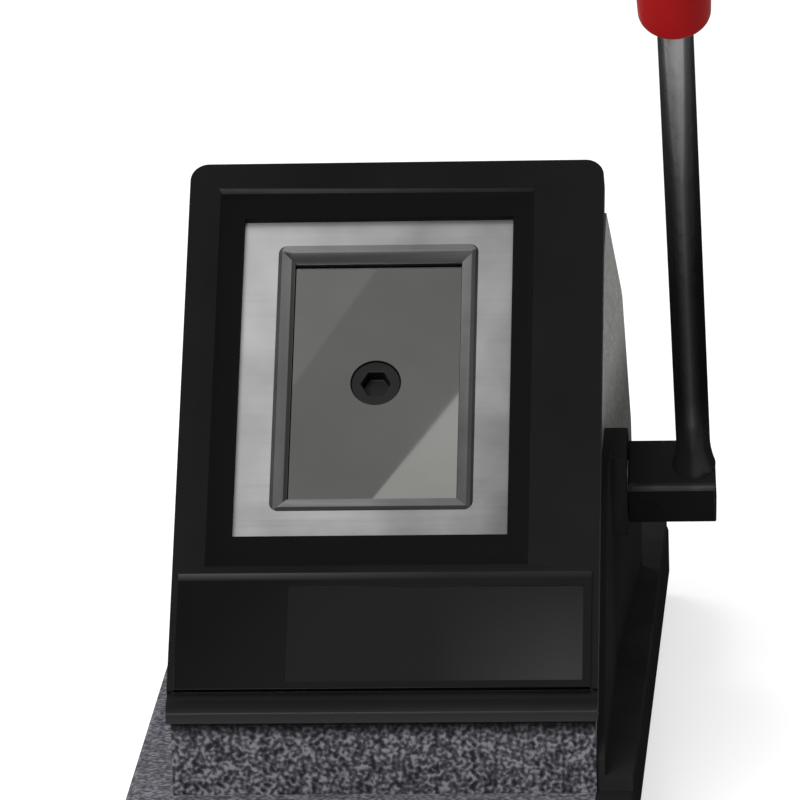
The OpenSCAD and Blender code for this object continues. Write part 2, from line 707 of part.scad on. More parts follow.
// One helical spring along Z from 0 to l, a six-sided wire swept along the helix
module helix(l, wire, d, turns) {
  sides = 6;
  rings = ceil(turns * 16);
  rise = l - wire;
  lead = atan2(rise, turns * PI * d);
  points = [for (i = [0:rings], k = [0:sides - 1])
    let (t = 360 * turns * i / rings, a = 360 * k / sides, q = d / 2 + wire / 2 * cos(a),
         b = wire / 2 * sin(a))
    [q * cos(t) + b * sin(lead) * sin(t), q * sin(t) - b * sin(lead) * cos(t),
     wire / 2 + rise * i / rings + b * cos(lead)]];
  skin = [for (i = [0:rings - 1], k = [0:sides - 1])
    let (a = i * sides + k, b = i * sides + (k + 1) % sides)
    each [[a, b + sides, b], [a, a + sides, b + sides]]];
  last = rings * sides;
  ends = [for (k = [1:sides - 2]) each [[0, k, k + 1], [last, last + k + 1, last + k]]];
  polyhedron(points, concat(skin, ends));
}

module return_springs() {
  color("#9a9da0") for (p = post_xy) on_slope(p[0], p[1], punch_back)
    helix(punch_back - bed_back, spring_wire, spring_d, spring_turns);
}

module punch() {
  color("#6a6b6c") difference() {
    on_slope(die_x - card_w / 2, die_s - card_l / 2, punch_back) cube([card_w, card_l, punch_l]);
    on_slope(die_x, die_s, punch_face + screw_sink + screw_head_l)
      cylinder(d = screw_head, h = screw_head_l + screw_sink + eps);
    on_slope(die_x, die_s, punch_back + eps) cylinder(d = screw_d, h = punch_l + 2 * eps);
  }
}

module punch_screw() {
  color("#262628") on_slope(die_x, die_s, punch_face + screw_sink + screw_head_l) {
    difference() {
      cylinder(d = screw_head, h = screw_head_l);
      translate([0, 0, screw_head_l / 2]) cylinder(d = screw_d * socket_ratio, h = screw_head_l, $fn = 6);
    }
    shank = punch_l - screw_sink - screw_head_l + ram_t - hole_spare;
    translate([0, 0, -shank]) cylinder(d = screw_d, h = shank);
  }
}

module ram_plate() {
  color("#7d8083") difference() {
    on_slope(die_x - ram_w / 2, die_s - ram_l / 2, ram_back) cube([ram_w, ram_l, ram_t]);
    for (p = post_xy) on_slope(p[0], p[1], ram_back + eps) cylinder(d = bush_d, h = ram_t + 2 * eps);
    on_slope(die_x, die_s, ram_back + eps) cylinder(d = screw_d, h = ram_t + 2 * eps);
    for (i = [-1, 1]) on_slope(die_x + i * rack_screw_dx, rack_screw_s, ram_back + eps) {
      cylinder(d = large_d, h = ram_t + 2 * eps);
      translate([0, 0, ram_t - large_d + eps]) cylinder(d = large_head, h = large_d + eps);
    }
  }
}

module guide_bushes() {
  color("#a8803c") for (p = post_xy) on_slope(p[0], p[1], ram_back) difference() {
    cylinder(d = bush_d, h = ram_t);
    translate([0, 0, -eps]) cylinder(d = post_d + 2 * run_gap, h = ram_t + 2 * eps);
  }
}

module rack_bar() {
  y1 = shaft_depth - ram_back;
  y0 = -(teeth_behind + 0.5) * tooth_pitch;
  color("#8b8e91") difference() {
    on_slope(die_x - rack_w / 2, pitch_s, shaft_depth) rotate([90, 0, 90]) linear_extrude(rack_w)
      rack_outline(y0, y1);
    for (i = [-1, 1]) on_slope(die_x + i * rack_screw_dx, rack_screw_s, ram_back + grip_in + hole_spare)
      cylinder(d = large_d, h = grip_in + hole_spare + eps);
  }
}

module rack_screws() {
  color("#3a3b3d") for (i = [-1, 1])
    on_slope(die_x + i * rack_screw_dx, rack_screw_s, punch_back + large_d)
      cap_screw(large_d, ram_t - large_d + grip_in);
}

module lever_shaft() {
  color("#b9bbbd") difference() {
    union() {
      shaft_bar(-front_half, hub_x, shaft_d);
      shaft_bar(hub_x, tail_end, tail_d);
    }
    on_lever() translate([(hub_x + tail_end) / 2, 0, 0]) rotate([90, 0, 0])
      cylinder(d = pin_d, h = hub_d, center = true);
    on_slope(pinion_x - pinion_hub / 2, shaft_s, shaft_depth)
      cylinder(d = pin_d, h = pinion_hub_d, center = true);
  }
}

module drive_pinion() {
  color("#8b8e91") difference() {
    union() {
      on_slope(pinion_x, shaft_s, shaft_depth) rotate([90, 0, 90]) linear_extrude(pinion_w)
        pinion_outline();
      shaft_bar(pinion_x - pinion_hub, pinion_x, pinion_hub_d);
    }
    shaft_bar(pinion_x - pinion_hub - eps, pinion_x + pinion_w + eps, shaft_d);
    on_slope(pinion_x - pinion_hub / 2, shaft_s, shaft_depth)
      cylinder(d = pin_d, h = pinion_hub_d + 2 * eps, center = true);
  }
}

module pinion_pin() {
  color("#b9bbbd") on_slope(pinion_x - pinion_hub / 2, shaft_s, shaft_depth)
    cylinder(d = pin_d, h = pinion_hub_d - 2 * hole_spare, center = true);
}

module shaft_collar() {
  color("#6f7275") difference() {
    shaft_bar(collar_x, collar_x + collar_w, collar_d);
    shaft_bar(collar_x - eps, collar_x + collar_w + eps, shaft_d);
    on_slope(collar_x + collar_w / 2, shaft_s, shaft_depth) cylinder(d = small_d, h = collar_d);
  }
}

module collar_screw() {
  color("#3a3b3d") on_slope(collar_x + collar_w / 2, shaft_s, shaft_depth) intersection() {
    cylinder(d = small_d, h = collar_d / 2 - hole_spare);
    translate([0, 0, shaft_d / 2]) cylinder(d = collar_d, h = collar_d);
  }
}

module left_bush() {
  color("#a8803c") difference() {
    union() {
      shaft_bar(-front_half, -inner_half, shaft_bush_d);
      shaft_bar(-inner_half, -inner_half + bush_flange, shaft_bush_d + 2 * bush_flange);
    }
    shaft_bar(-front_half - eps, eps, shaft_d + 2 * run_gap);
  }
}

module right_bush() {
  color("#a8803c") difference() {
    union() {
      shaft_bar(inner_half, boss_face, shaft_bush_d);
      shaft_bar(right_bush_x, inner_half, shaft_bush_d + 2 * bush_flange);
    }
    shaft_bar(right_bush_x - eps, boss_face + eps, shaft_d + 2 * run_gap);
  }
}

// Side outline of the bracket: it follows the sloping front, runs over the boss and falls towards the back
module bracket_profile() {
  edge = bed_back + bracket_gap;
  low_z = panel_z + (strip_y0 - panel_y) * tan(slope) - edge / cos(slope);
  near_s = (shaft_pt[1] + boss_r - panel_z - 2 * bracket_gap + edge * cos(slope)) / sin(slope);
  polygon([[strip_y0, base_top], [strip_y0, low_z], slope_pt(near_s, edge),
           shaft_pt + [0, boss_r], [rear_y, base_top + bracket_tail], [rear_y, base_top]]);
}

module lever_bracket() {
  color("#1d1d1f") difference() {
    union() {
      intersection() {
        across(front_half - eps, rear_half + 2 * bracket_t) bracket_profile();
        linear_extrude(panel_z + panel_l) housing_plan(-bracket_t, front_y, rear_y);
      }
      shaft_bar(front_half - eps, boss_face, 2 * boss_r);
      translate([0, 0, base_top]) linear_extrude(strip_t)
        polygon([[front_half - eps, strip_y0], [strip_side(strip_y0), strip_y0],
                 [strip_side(strip_y1), strip_y1], [rear_half, strip_y1], [rear_half, rear_y],
                 [front_half - eps, rear_y]]);
    }
    linear_extrude(panel_z + panel_l) housing_plan(0, front_y - eps, rear_y);
    shaft_bar(front_half - 2 * eps, boss_face + eps, shaft_bush_d);
    for (p = strip_screws) translate([p[0], p[1], base_top - eps])
      cylinder(d = large_d, h = strip_t - hole_spare + eps);
  }
}

module bracket_screws() {
  color("#3a3b3d") for (p = strip_screws) translate([p[0], p[1], foot_h + large_d]) mirror([0, 0, 1])
    cap_screw(large_d, base_t - large_d + strip_t - 2 * hole_spare);
}

module lever_hub() {
  color("#1a1a1c") difference() {
    on_lever() translate([hub_x, 0, -hub_h / 2]) linear_extrude(hub_h)
      polygon([[0, -hub_d / 2], [hub_l, -hub_d / 2], [hub_l, hub_d / 2 - hub_cut_d],
               [hub_l - hub_cut_l, hub_d / 2], [0, hub_d / 2]]);
    shaft_bar(hub_x - eps, tail_end, tail_d);
    on_lever() translate([rod_x, 0, hub_h / 2 - rod_seat]) cylinder(d = rod_d, h = rod_seat + eps);
    on_lever() translate([(hub_x + tail_end) / 2, 0, 0]) rotate([90, 0, 0])
      cylinder(d = pin_d, h = hub_d + 2 * eps, center = true);
  }
}

module hub_pin() {
  color("#1a1a1c") on_lever() translate([(hub_x + tail_end) / 2, 0, 0]) rotate([90, 0, 0])
    cylinder(d = pin_d, h = hub_d - 2 * hole_spare, center = true);
}

module lever_rod() {
  r = rod_d / 2;
  z0 = hub_h / 2;
  color("#a9acaf") on_lever() translate([rod_x, 0, 0]) rotate_extrude()
    polygon([[0, z0 - rod_seat], [r, z0 - rod_seat], [r, z0], [r + flare_w, z0], [r, z0 + flare_h],
             [r, grip_at + grip_bore], [0, grip_at + grip_bore]]);
}

// Half outline of the grip: round lower end, taper to the thickest place, long round head
module grip_outline() {
  r0 = grip_d0 / 2;
  r1 = grip_d1 / 2;
  head = grip_l - 2 * r1;
  low = [for (a = [-90:15:0]) [r0 - grip_r + grip_r * cos(a), grip_r + grip_r * sin(a)]];
  top = [for (a = [0:10:90]) [r1 * cos(a), head + 2 * r1 * sin(a)]];
  polygon(concat([[rod_d / 2, 0]], low, top, [[0, grip_bore], [rod_d / 2, grip_bore]]));
}

module lever_grip() {
  color("#93201f") on_lever() translate([rod_x, 0, grip_at]) rotate_extrude() grip_outline();
}

base_plate();
rubber_feet();
foot_screws();
housing();
base_screws();
front_frame();
lower_cover();
die_plate();
bed_plate();
frame_screws();
bed_screws();
guide_posts();
post_nuts();
return_springs();
punch();
punch_screw();
ram_plate();
guide_bushes();
rack_bar();
rack_screws();
lever_shaft();
drive_pinion();
pinion_pin();
shaft_collar();
collar_screw();
left_bush();
right_bush();
lever_bracket();
bracket_screws();
lever_hub();
hub_pin();
lever_rod();
lever_grip();
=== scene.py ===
"""Looks of a lever-operated ID photo cutter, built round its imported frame. Metres, +Z up."""
import json
import math

import bmesh
import bpy
from mathutils import Matrix, Vector


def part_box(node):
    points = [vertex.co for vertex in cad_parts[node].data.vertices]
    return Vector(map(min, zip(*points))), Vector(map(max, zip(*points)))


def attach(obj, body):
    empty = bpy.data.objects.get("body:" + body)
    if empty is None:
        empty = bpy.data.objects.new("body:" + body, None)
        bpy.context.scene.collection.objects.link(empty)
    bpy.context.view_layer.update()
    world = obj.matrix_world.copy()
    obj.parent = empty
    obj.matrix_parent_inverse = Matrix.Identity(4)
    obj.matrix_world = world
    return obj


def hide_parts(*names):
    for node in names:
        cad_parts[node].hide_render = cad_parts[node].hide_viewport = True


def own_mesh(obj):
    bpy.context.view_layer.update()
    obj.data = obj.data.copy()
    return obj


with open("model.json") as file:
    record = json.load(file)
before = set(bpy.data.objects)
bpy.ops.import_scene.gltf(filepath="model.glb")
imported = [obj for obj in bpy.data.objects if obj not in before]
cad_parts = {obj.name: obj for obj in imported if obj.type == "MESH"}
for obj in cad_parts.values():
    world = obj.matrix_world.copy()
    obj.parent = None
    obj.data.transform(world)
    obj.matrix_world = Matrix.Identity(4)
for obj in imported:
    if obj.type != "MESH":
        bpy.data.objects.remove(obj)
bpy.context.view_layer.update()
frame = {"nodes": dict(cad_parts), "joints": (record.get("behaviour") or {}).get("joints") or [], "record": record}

MM = 0.001

# Camera, fitted to the photograph's frame of 800 by 800 pixels
IMAGE_PX = 800
SENSOR_MM = 36
FOCAL_PX = 6566
CAMERA_TARGET = Vector((0, -8.41, 120.63)) * MM
CAMERA_TURN = math.radians(4.29)
CAMERA_RISE = math.radians(16.29)
CAMERA_ROLL = math.radians(1.79)
CAMERA_DISTANCE = 2136.07 * MM
SIGHT_END = 100

# Light cards mirrored by the punch: two pixels on the reflection's edge, one inside it, size and power
CARD_HEIGHT = 0.95
BRIGHT_CARD = (((480, 370), (375, 497)), (445, 470), (1.5, 0.7), 1.9)
FAINT_CARD = (((381, 262), (312, 357)), (310, 285), (1.2, 0.7), 0.25)

# Other light
KEY_PLACE = Vector((-0.53, -1.46, 1.21))
KEY_SIZE = (0.9, 0.7)
KEY_POWER = 24
BACK_PLACE = Vector((-0.9, 1.0, 1.3))
BACK_SIZE = (0.8, 0.6)
BACK_POWER = 10
SKY_LOW = 0.36
SKY_HIGH = 0.46
FLOOR_SIDE = 12
FLOOR_TONE = 0.62
FLOOR_ROUGH = 0.9
FLOOR_LIFT = 0.58

# Directions of the moving parts, from the joints
joints = {joint["name"]: joint for joint in frame["joints"]}
PANEL_OUT = Vector(joints["punch_slide"]["axis"]).normalized()
PANEL_UP = PANEL_OUT.cross(Vector((1, 0, 0)))
PIVOT = Vector(joints["lever_swing"]["pos_m"])
LEVER_LEAN = math.radians(34)
LEVER_UP = Vector((0, -math.sin(LEVER_LEAN), math.cos(LEVER_LEAN)))
LEVER_AHEAD = Vector((0, -math.cos(LEVER_LEAN), -math.sin(LEVER_LEAN)))
AHEAD = Vector((0, -1, 0))

# Material slot of each node
slot_of = {part["node"]: part["material_slot"] for part in frame["record"]["subparts"]}

# Sizes of the lever's round parts
ROD_R = 5.5 * MM
FLARE_W = 1.5 * MM
FLARE_H = 13 * MM
FLARE_STEPS = 8
HUB_HALF = 9 * MM
GRIP_R0 = 11 * MM
GRIP_R1 = 13.25 * MM
GRIP_END = 3 * MM
CROWN_H = 2 * GRIP_R1
CROWN_STEP = 6
LATHE_STEPS = 72
# Turn of the rod's painted highlight stripe about its axis
ROD_STRIPE_TURN = math.radians(-5)

# Base outline
BASE_TAPER = 3.7 * MM
BASE_CORNER = 8 * MM

# Distances from the middle plane past which edges are outer ones
SHELL_SIDE = 64.4 * MM
BED_SIDE = 66 * MM

# Springs
SPRING_WIRE = 1.6 * MM
SPRING_D = 14 * MM
SPRING_TURNS = 4.5
TURN_STEPS = 32
WIRE_SIDES = 12

# Levels between which a noise mostly lies, and the shares of a tone that it gives to clouds
NOISE_LOW = 0.3
NOISE_HIGH = 0.7
CLOUD_DARK = 0.8
CLOUD_LIGHT = 1.25
METAL_DARK = 0.85

# Flecks: their scale, the scale and share of the coarser patches, their range, their ramp and blue cast
FLECK_SCALE = 700.0
PATCH_SCALE = 0.38
PATCH_SHARE = 0.34
FLECK_SPAN = (0.32, 0.68)
FLECK_STOPS = (0.1, 0.5, 0.9)
BLUE_CAST = 1.12

# Paint: the black of the sides, which is also the colour of painted shade, where the base's begins, worn tones,
# the black one also painting highlights, and the noise that breaks up the wear
DARK_SIDE_AND_SHADE = (0.016, 0.016, 0.017)
BLACK_FROM = 66 * MM
WORN_GREY = (0.3, 0.3, 0.31)
WORN_AND_HIGHLIGHT_BLACK = (0.09, 0.09, 0.095)
WEAR_SPAN = (0.3, 0.6)
WEAR_LEAST = 0.5

# Grinding of the die: strokes along X, soft blotches and the tones that they give
STROKE_SCALE = 60.0
STROKE_STRETCH = (0.35, 18.0, 18.0)
STROKE_SHARE = 0.06
BLOTCH_SCALE = 38.0
BLOTCH_SHARE = 0.5
DIE_TONES = ((0.2, 0.157), (0.8, 0.553))

# Slant of the die's painted shading, lighter to the upper left, and its levels at the upper left and the lower
# right
DIE_SLANT = 0.76
DIE_SHADE = (0.51, -0.08)

# Painted shade: dark tones of the die's mouth and of the punch's bore
MOUTH_SHADE_TONE = (0.04, 0.04, 0.04)
BORE_SHADE_TONE = (0.02, 0.02, 0.02)
BORE_ROUGH = 0.6

# Rod: tones of painted reflection from its foot to its top, streaks in them, and its painted highlight stripe from
# the sides to the front
ROD_REFLECTION_TONES = ((0.12, 0.1), (0.2, 0.045), (0.38, 0.046), (0.53, 0.095), (0.65, 0.18), (0.75, 0.31))
ROD_TINT = (0.1, 0.1, 0.1, 1)
STREAK_SCALE = 60.0
STREAK_STRETCH = (6.0, 6.0, 0.4)
STREAK_SHARE = 0.06
STRIPE_HIGHLIGHT_TONES = ((0.88, 0.28), (0.96, 0.48), (1.0, 1.0))

# Strips of the mouth's bevels with painted shade, by their distance from the punch
LEFT_STRIP = 1.3 * MM
TOP_STRIP = 3.8 * MM
OUTER_STRIP = 3.1 * MM

# How dark each side of the mouth is painted as shade: its steep outer step, the shaded strip and the rest of the
# bevel
MOUTH_LEFT = (0.2, 1.0, 0.78)
MOUTH_RIGHT = (0.5, 0.9, 0.68)
MOUTH_TOP = (0.6, 1.0, 0.92)
MOUTH_BOTTOM = (0.94, 0.94, 0.4)

# The hood's right side: its paler tone, which is painted light, the painted shade that fades upwards on it,
# the strength from which a dark mask makes paint fully matt, and the depth of the front corner
SIDE_LIGHT_TONE = (0.235, 0.235, 0.19)
SIDE_LIGHT_SHARE = 0.5
HOOD_SHADE_LOW = 98 * MM
HOOD_SHADE_HIGH = 150 * MM
HOOD_SHADE_DARK = 0.5
DARK_MASK_DULL = 0.6
CORNER = 4 * MM

# The painted shadow line on the front wall, by its distances under the panel's lip
LIP_SHADOW_FROM = 6 * MM
LIP_SHADOW_FULL = 2 * MM
LIP_SHADOW_DARK = 0.9

# Painted highlights: how steeply the one on the toe grows down it, and the one on the cover's upper edge, which
# fades to the right
TOE_HIGHLIGHT_RISE = 3.0
EDGE_HIGHLIGHT_FROM = 3.2 * MM
EDGE_HIGHLIGHT_FULL = 0.4 * MM
EDGE_HIGHLIGHT_LEFT = -45 * MM
EDGE_HIGHLIGHT_RIGHT = 20 * MM
EDGE_HIGHLIGHT_LEAST = 0.25

# Places to the right of the middle plane between which the tone of marked faces changes, which paints a sheen
# growing to the right
SHADE_FROM = 15 * MM
SHADE_TO = 55 * MM

# Merging, flattening and rounding of copied meshes
MERGE = 0.002 * MM
FLAT = math.radians(1)
SHARP = math.radians(35)
ROUND_STEPS = 3

# Least cosines: of faces that look out of the panel, that lie in it, of gentle bevels and of worn faces,
# where the wear can paint a highlight, of edges that run across the panel, and of faces that look to the right
FACING = 0.98
IN_PLANE = 0.999
STEEP = 0.85
WEAR_AND_HIGHLIGHT_FROM = 0.7
ACROSS = 0.9
RIGHTWARD = 0.1

# Distances in the tests for edges and faces
NEAR = 0.3 * MM
FACE_SKIN = 0.5 * MM
COVER_SKIN = 1 * MM
FIELD_STEP = 0.2 * MM
PANEL_RIM = 5 * MM
BORE_REACH = 18 * MM
SHELL_HOLE = 20 * MM
HUB_BORE = 8 * MM
PIN_EDGE = 4 * MM


def reach_along(name, way):
    """Least and greatest distance of a node along a direction."""
    reach = [v.co.dot(way) for v in frame["nodes"][name].data.vertices]
    return min(reach), max(reach)


def depth_range(name):
    return reach_along(name, PANEL_OUT)


def up_range(name):
    return reach_along(name, PANEL_UP)


def node(tree, kind, inputs=None, **settings):
    """Adds a node; an input is a plain value or another node's socket."""
    made = tree.nodes.new(kind)
    for name, value in settings.items():
        setattr(made, name, value)
    for name, value in (inputs or {}).items():
        if isinstance(value, bpy.types.NodeSocket):
            tree.links.new(value, made.inputs[name])
        else:
            made.inputs[name].default_value = value
    return made


def math_node(tree, operation, first, second):
    return node(tree, "ShaderNodeMath", {0: first, 1: second}, operation=operation).outputs[0]


def ramp(tree, value, stops):
    """Colour ramp from (position, grey level or colour) pairs."""
    made = node(tree, "ShaderNodeValToRGB", {"Fac": value})
    points = made.color_ramp.elements
    while len(points) < len(stops):
        points.new(1)
    for point, (position, tone) in zip(points, stops):
        point.position = position
        point.color = (*tone, 1) if hasattr(tone, "__len__") else (tone, tone, tone, 1)
    return made.outputs["Color"]


def mix_colour(tree, mask, first, second):
    made = node(tree, "ShaderNodeMix", {0: mask}, data_type="RGBA")
    for index, value in ((6, first), (7, second)):
        if isinstance(value, bpy.types.NodeSocket):
            tree.links.new(value, made.inputs[index])
        else:
            made.inputs[index].default_value = (*value, 1)
    return made.outputs[2]


def own_place(tree):
    """Object coordinates."""
    return node(tree, "ShaderNodeTexCoord").outputs["Object"]


def object_axes(tree):
    """Object coordinates, one socket each."""
    return node(tree, "ShaderNodeSeparateXYZ", {0: own_place(tree)}).outputs


def written(tree, name):
    """Value that a mesh carries as an attribute."""
    return node(tree, "ShaderNodeAttribute", attribute_name=name).outputs["Fac"]


def product(tree, first, second):
    return math_node(tree, "MULTIPLY", first, second)


def total(tree, first, second):
    return math_node(tree, "ADD", first, second)


def greatest(tree, first, second):
    return math_node(tree, "MAXIMUM", first, second)


def between(tree, value, start, full, first=0.0, last=1.0):
    """Value mapped from one range to another and held at its ends."""
    return node(tree, "ShaderNodeMapRange", {"Value": value, "From Min": start, "From Max": full,
                                             "To Min": first, "To Max": last}).outputs[0]


def new_group(name, inputs, outputs):
    """Empty shader group with float inputs and outputs; returns its tree and its end nodes."""
    tree = bpy.data.node_groups.new(name, "ShaderNodeTree")
    for label, value in inputs.items():
        socket = tree.interface.new_socket(label, in_out="INPUT", socket_type="NodeSocketFloat")
        socket.default_value = value
    for label in outputs:
        tree.interface.new_socket(label, in_out="OUTPUT", socket_type="NodeSocketFloat")
    return tree, tree.nodes.new("NodeGroupInput"), tree.nodes.new("NodeGroupOutput")


def noise(tree, scale, detail, stretch=None, bend=0.0):
    """Noise on object coordinates; stretch scales the three directions apart, bend makes it wormy."""
    place = own_place(tree)
    if stretch:
        place = node(tree, "ShaderNodeMapping", {"Vector": place, "Scale": stretch}).outputs[0]
    made = node(tree, "ShaderNodeTexNoise", {
        "Vector": place, "Scale": scale, "Detail": detail, "Distortion": bend})
    return made.outputs["Fac"]


def speckle_group():
    """Wormy salt-and-pepper flecks of a hammer paint, uneven in size and strength."""
    tree, start, end = new_group("paint flecks", {"Fleck": FLECK_SCALE}, ("Mask", "Height"))
    worms = noise(tree, start.outputs["Fleck"], detail=0.5, bend=0.3)
    patches = noise(tree, product(tree, start.outputs["Fleck"], PATCH_SCALE), detail=1.0)
    uneven = total(tree, product(tree, worms, 1 - PATCH_SHARE), product(tree, patches, PATCH_SHARE))
    tree.links.new(between(tree, uneven, *FLECK_SPAN), end.inputs["Mask"])
    tree.links.new(worms, end.inputs["Height"])
    return tree


def grain_group():
    """Fine grain for satin paint and moulded surfaces."""
    tree, start, end = new_group("fine grain", {"Scale": 900.0, "Cloud": 25.0}, ("Grain", "Cloud"))
    tree.links.new(noise(tree, start.outputs["Scale"], detail=2.0), end.inputs["Grain"])
    tree.links.new(noise(tree, start.outputs["Cloud"], detail=3.0), end.inputs["Cloud"])
    return tree


def wear_group():
    """Worn edges: the marked edge faces, broken up by noise; on the panel frame and the hub this wear paints a
    highlight.
    """
    tree, start, end = new_group("edge wear", {"Amount": 0.5, "Scale": 120.0}, ("Mask",))
    patch = noise(tree, start.outputs["Scale"], detail=3.0)
    worn = product(tree, written(tree, "edge"), between(tree, patch, *WEAR_SPAN, first=WEAR_LEAST))
    tree.links.new(product(tree, worn, start.outputs["Amount"]), end.inputs["Mask"])
    return tree


def stroke_group():
    """Long fine strokes of grinding along X, with soft blotches."""
    tree, start, end = new_group("grinding strokes", {"Scale": STROKE_SCALE}, ("Stroke", "Blotch"))
    lines = noise(tree, start.outputs["Scale"], detail=4.0, stretch=STROKE_STRETCH)
    tree.links.new(lines, end.inputs["Stroke"])
    tree.links.new(noise(tree, BLOTCH_SCALE, detail=3.0), end.inputs["Blotch"])
    return tree


GROUPS = {"flecks": speckle_group(), "grain": grain_group(),
          "wear": wear_group(), "stroke": stroke_group()}


def use_group(tree, name, **values):
    made = tree.nodes.new("ShaderNodeGroup")
    made.node_tree = GROUPS[name]
    for label, value in values.items():
        made.inputs[label].default_value = value
    return made.outputs


def new_material(name, metallic=0.0, specular=0.5):
    """Material with one Principled shader; returns it, its tree and the shader."""
    made = bpy.data.materials.new(name)
    made.use_nodes = True
    shader = made.node_tree.nodes["Principled BSDF"]
    shader.inputs["Metallic"].default_value = metallic
    shader.inputs["Specular IOR Level"].default_value = specular
    return made, made.node_tree, shader


def set_bump(tree, shader, height, distance):
    bump = node(tree, "ShaderNodeBump", {"Height": height, "Distance": distance, "Strength": 1.0})
    tree.links.new(bump.outputs[0], shader.inputs["Normal"])


def spread(tree, value, low, high):
    """Noise value spread between two levels."""
    return between(tree, value, NOISE_LOW, NOISE_HIGH, low, high)


def cloudy(tree, value, dark, light):
    """Noise value spread between two tones."""
    return ramp(tree, value, ((NOISE_LOW, dark), (NOISE_HIGH, light)))


def vary_roughness(tree, shader, value, low, high):
    tree.links.new(spread(tree, value, low, high), shader.inputs["Roughness"])


def hood_side(tree):
    """Mask of the hood's right side, behind the front corner."""
    place = object_axes(tree)
    behind = math_node(tree, "GREATER_THAN", place["Y"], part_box("housing")[0].y + CORNER)
    return product(tree, behind, math_node(tree, "GREATER_THAN", place["X"], SHELL_SIDE))


def hood_painted_shade(tree):
    """Mask of the painted shade low on the hood's right side, and of the painted shadow line under the front
    panel's lip.
    """
    place = object_axes(tree)
    # Painted shade: the hood's right side darkens towards the bottom
    low_shade = between(tree, place["Z"], HOOD_SHADE_LOW, HOOD_SHADE_HIGH, first=HOOD_SHADE_DARK, last=0.0)
    side = product(tree, hood_side(tree), low_shade)
    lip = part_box("front_frame")[0].z
    ahead = math_node(tree, "LESS_THAN", place["Y"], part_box("housing")[0].y + MM)
    # Painted shadow: a dark band on the front wall just under the panel's lip
    shade = between(tree, place["Z"], lip - LIP_SHADOW_FROM, lip - LIP_SHADOW_FULL, last=LIP_SHADOW_DARK)
    return greatest(tree, side, product(tree, ahead, shade))


def speckle_paint(name, tones, specular, black_from=None):
    """Flecked paint of three grey levels, worn at the edges.

    It is black past a distance to the right, or else on marked faces and under painted shade; the hood's right
    side is paler, as painted light."""
    made, tree, shader = new_material(name, specular=specular)
    flecks = use_group(tree, "flecks", Fleck=FLECK_SCALE)
    stops = [(stop, (tone, tone, BLUE_CAST * tone)) for stop, tone in zip(FLECK_STOPS, tones)]
    worn = use_group(tree, "wear", Amount=0.2)["Mask"]
    paint = mix_colour(tree, worn, ramp(tree, flecks["Mask"], stops), WORN_GREY)
    if black_from:
        mark = math_node(tree, "GREATER_THAN", object_axes(tree)["X"], black_from)
    else:
        # Painted light: the hood's right side is mixed towards a paler tone
        paint = mix_colour(tree, product(tree, hood_side(tree), SIDE_LIGHT_SHARE), paint, SIDE_LIGHT_TONE)
        mark = greatest(tree, written(tree, "mark"), hood_painted_shade(tree))
    tree.links.new(mix_colour(tree, mark, paint, DARK_SIDE_AND_SHADE), shader.inputs["Base Color"])
    rough = spread(tree, flecks["Mask"], low=0.36, high=0.55)
    rough = greatest(tree, rough, between(tree, mark, 0.0, DARK_MASK_DULL))
    tree.links.new(rough, shader.inputs["Roughness"])
    set_bump(tree, shader, flecks["Height"], distance=0.25 * MM)
    return made


def panel_height(tree, start, full):
    """Mask that grows from 0 to 1 between two heights along the panel's slope."""
    height = node(tree, "ShaderNodeVectorMath", {0: own_place(tree), 1: PANEL_UP},
                  operation="DOT_PRODUCT")
    return between(tree, height.outputs["Value"], start, full)


def toe_painted_highlight(tree):
    """Mask of the painted highlight on the panel's toe below the cover, most at its lower edge."""
    height = panel_height(tree, up_range("lower_cover")[0], up_range("front_frame")[0])
    return math_node(tree, "POWER", height, TOE_HIGHLIGHT_RISE)


def cover_edge_highlight(tree):
    """Mask of the painted highlight on the cover's upper edge, most on the left."""
    top = up_range("lower_cover")[1]
    fade = between(tree, object_axes(tree)["X"], EDGE_HIGHLIGHT_LEFT, EDGE_HIGHLIGHT_RIGHT, first=1.0, last=EDGE_HIGHLIGHT_LEAST)
    return product(tree, panel_height(tree, top - EDGE_HIGHLIGHT_FROM, top - EDGE_HIGHLIGHT_FULL), fade)


def down_cover(tree):
    """Mask that grows from the cover's upper edge to its lower one, which spreads the cover's painted sheen
    downwards.
    """
    return panel_height(tree, *reversed(up_range("lower_cover")))


def black_paint(name, tone, specular, rough, wear, marked=None, marked_down=None, marked_rough=None,
                edge_rough=None, painted_highlight=None, highlight_tone=None, bump=0.03):
    """Black paint of a grey level, cloudy and worn at its edges, where the wear can paint a highlight.

    Marked faces have a left and a right level, whose change, a painted sheen, a mask can hold back. A painted
    highlight has its own level. Marked faces and worn edges can be rougher. The bump is in mm."""
    made, tree, shader = new_material(name, specular=specular)
    grain = use_group(tree, "grain", Scale=1400.0, Cloud=22.0)
    paint = cloudy(tree, grain["Cloud"], dark=CLOUD_DARK * tone, light=CLOUD_LIGHT * tone)
    if marked:
        change = between(tree, object_axes(tree)["X"], SHADE_FROM, SHADE_TO)
        if marked_down:
            change = product(tree, change, marked_down(tree))
        left, right = marked
        own = ramp(tree, change, ((0, left), (1, right)))
        paint = mix_colour(tree, written(tree, "mark"), paint, own)
    # Painted highlight: a lighter tone over the masked part
    if painted_highlight:
        paint = mix_colour(tree, painted_highlight(tree), paint, (highlight_tone, highlight_tone, highlight_tone))
    worn = use_group(tree, "wear", Amount=wear)["Mask"]
    tree.links.new(mix_colour(tree, worn, paint, WORN_AND_HIGHLIGHT_BLACK), shader.inputs["Base Color"])
    dull = spread(tree, grain["Cloud"], *rough)
    for label, level in (("mark", marked_rough), ("edge", edge_rough)):
        if level:
            dull = greatest(tree, dull, product(tree, written(tree, label), level))
    tree.links.new(dull, shader.inputs["Roughness"])
    set_bump(tree, shader, grain["Grain"], distance=bump * MM)
    return made


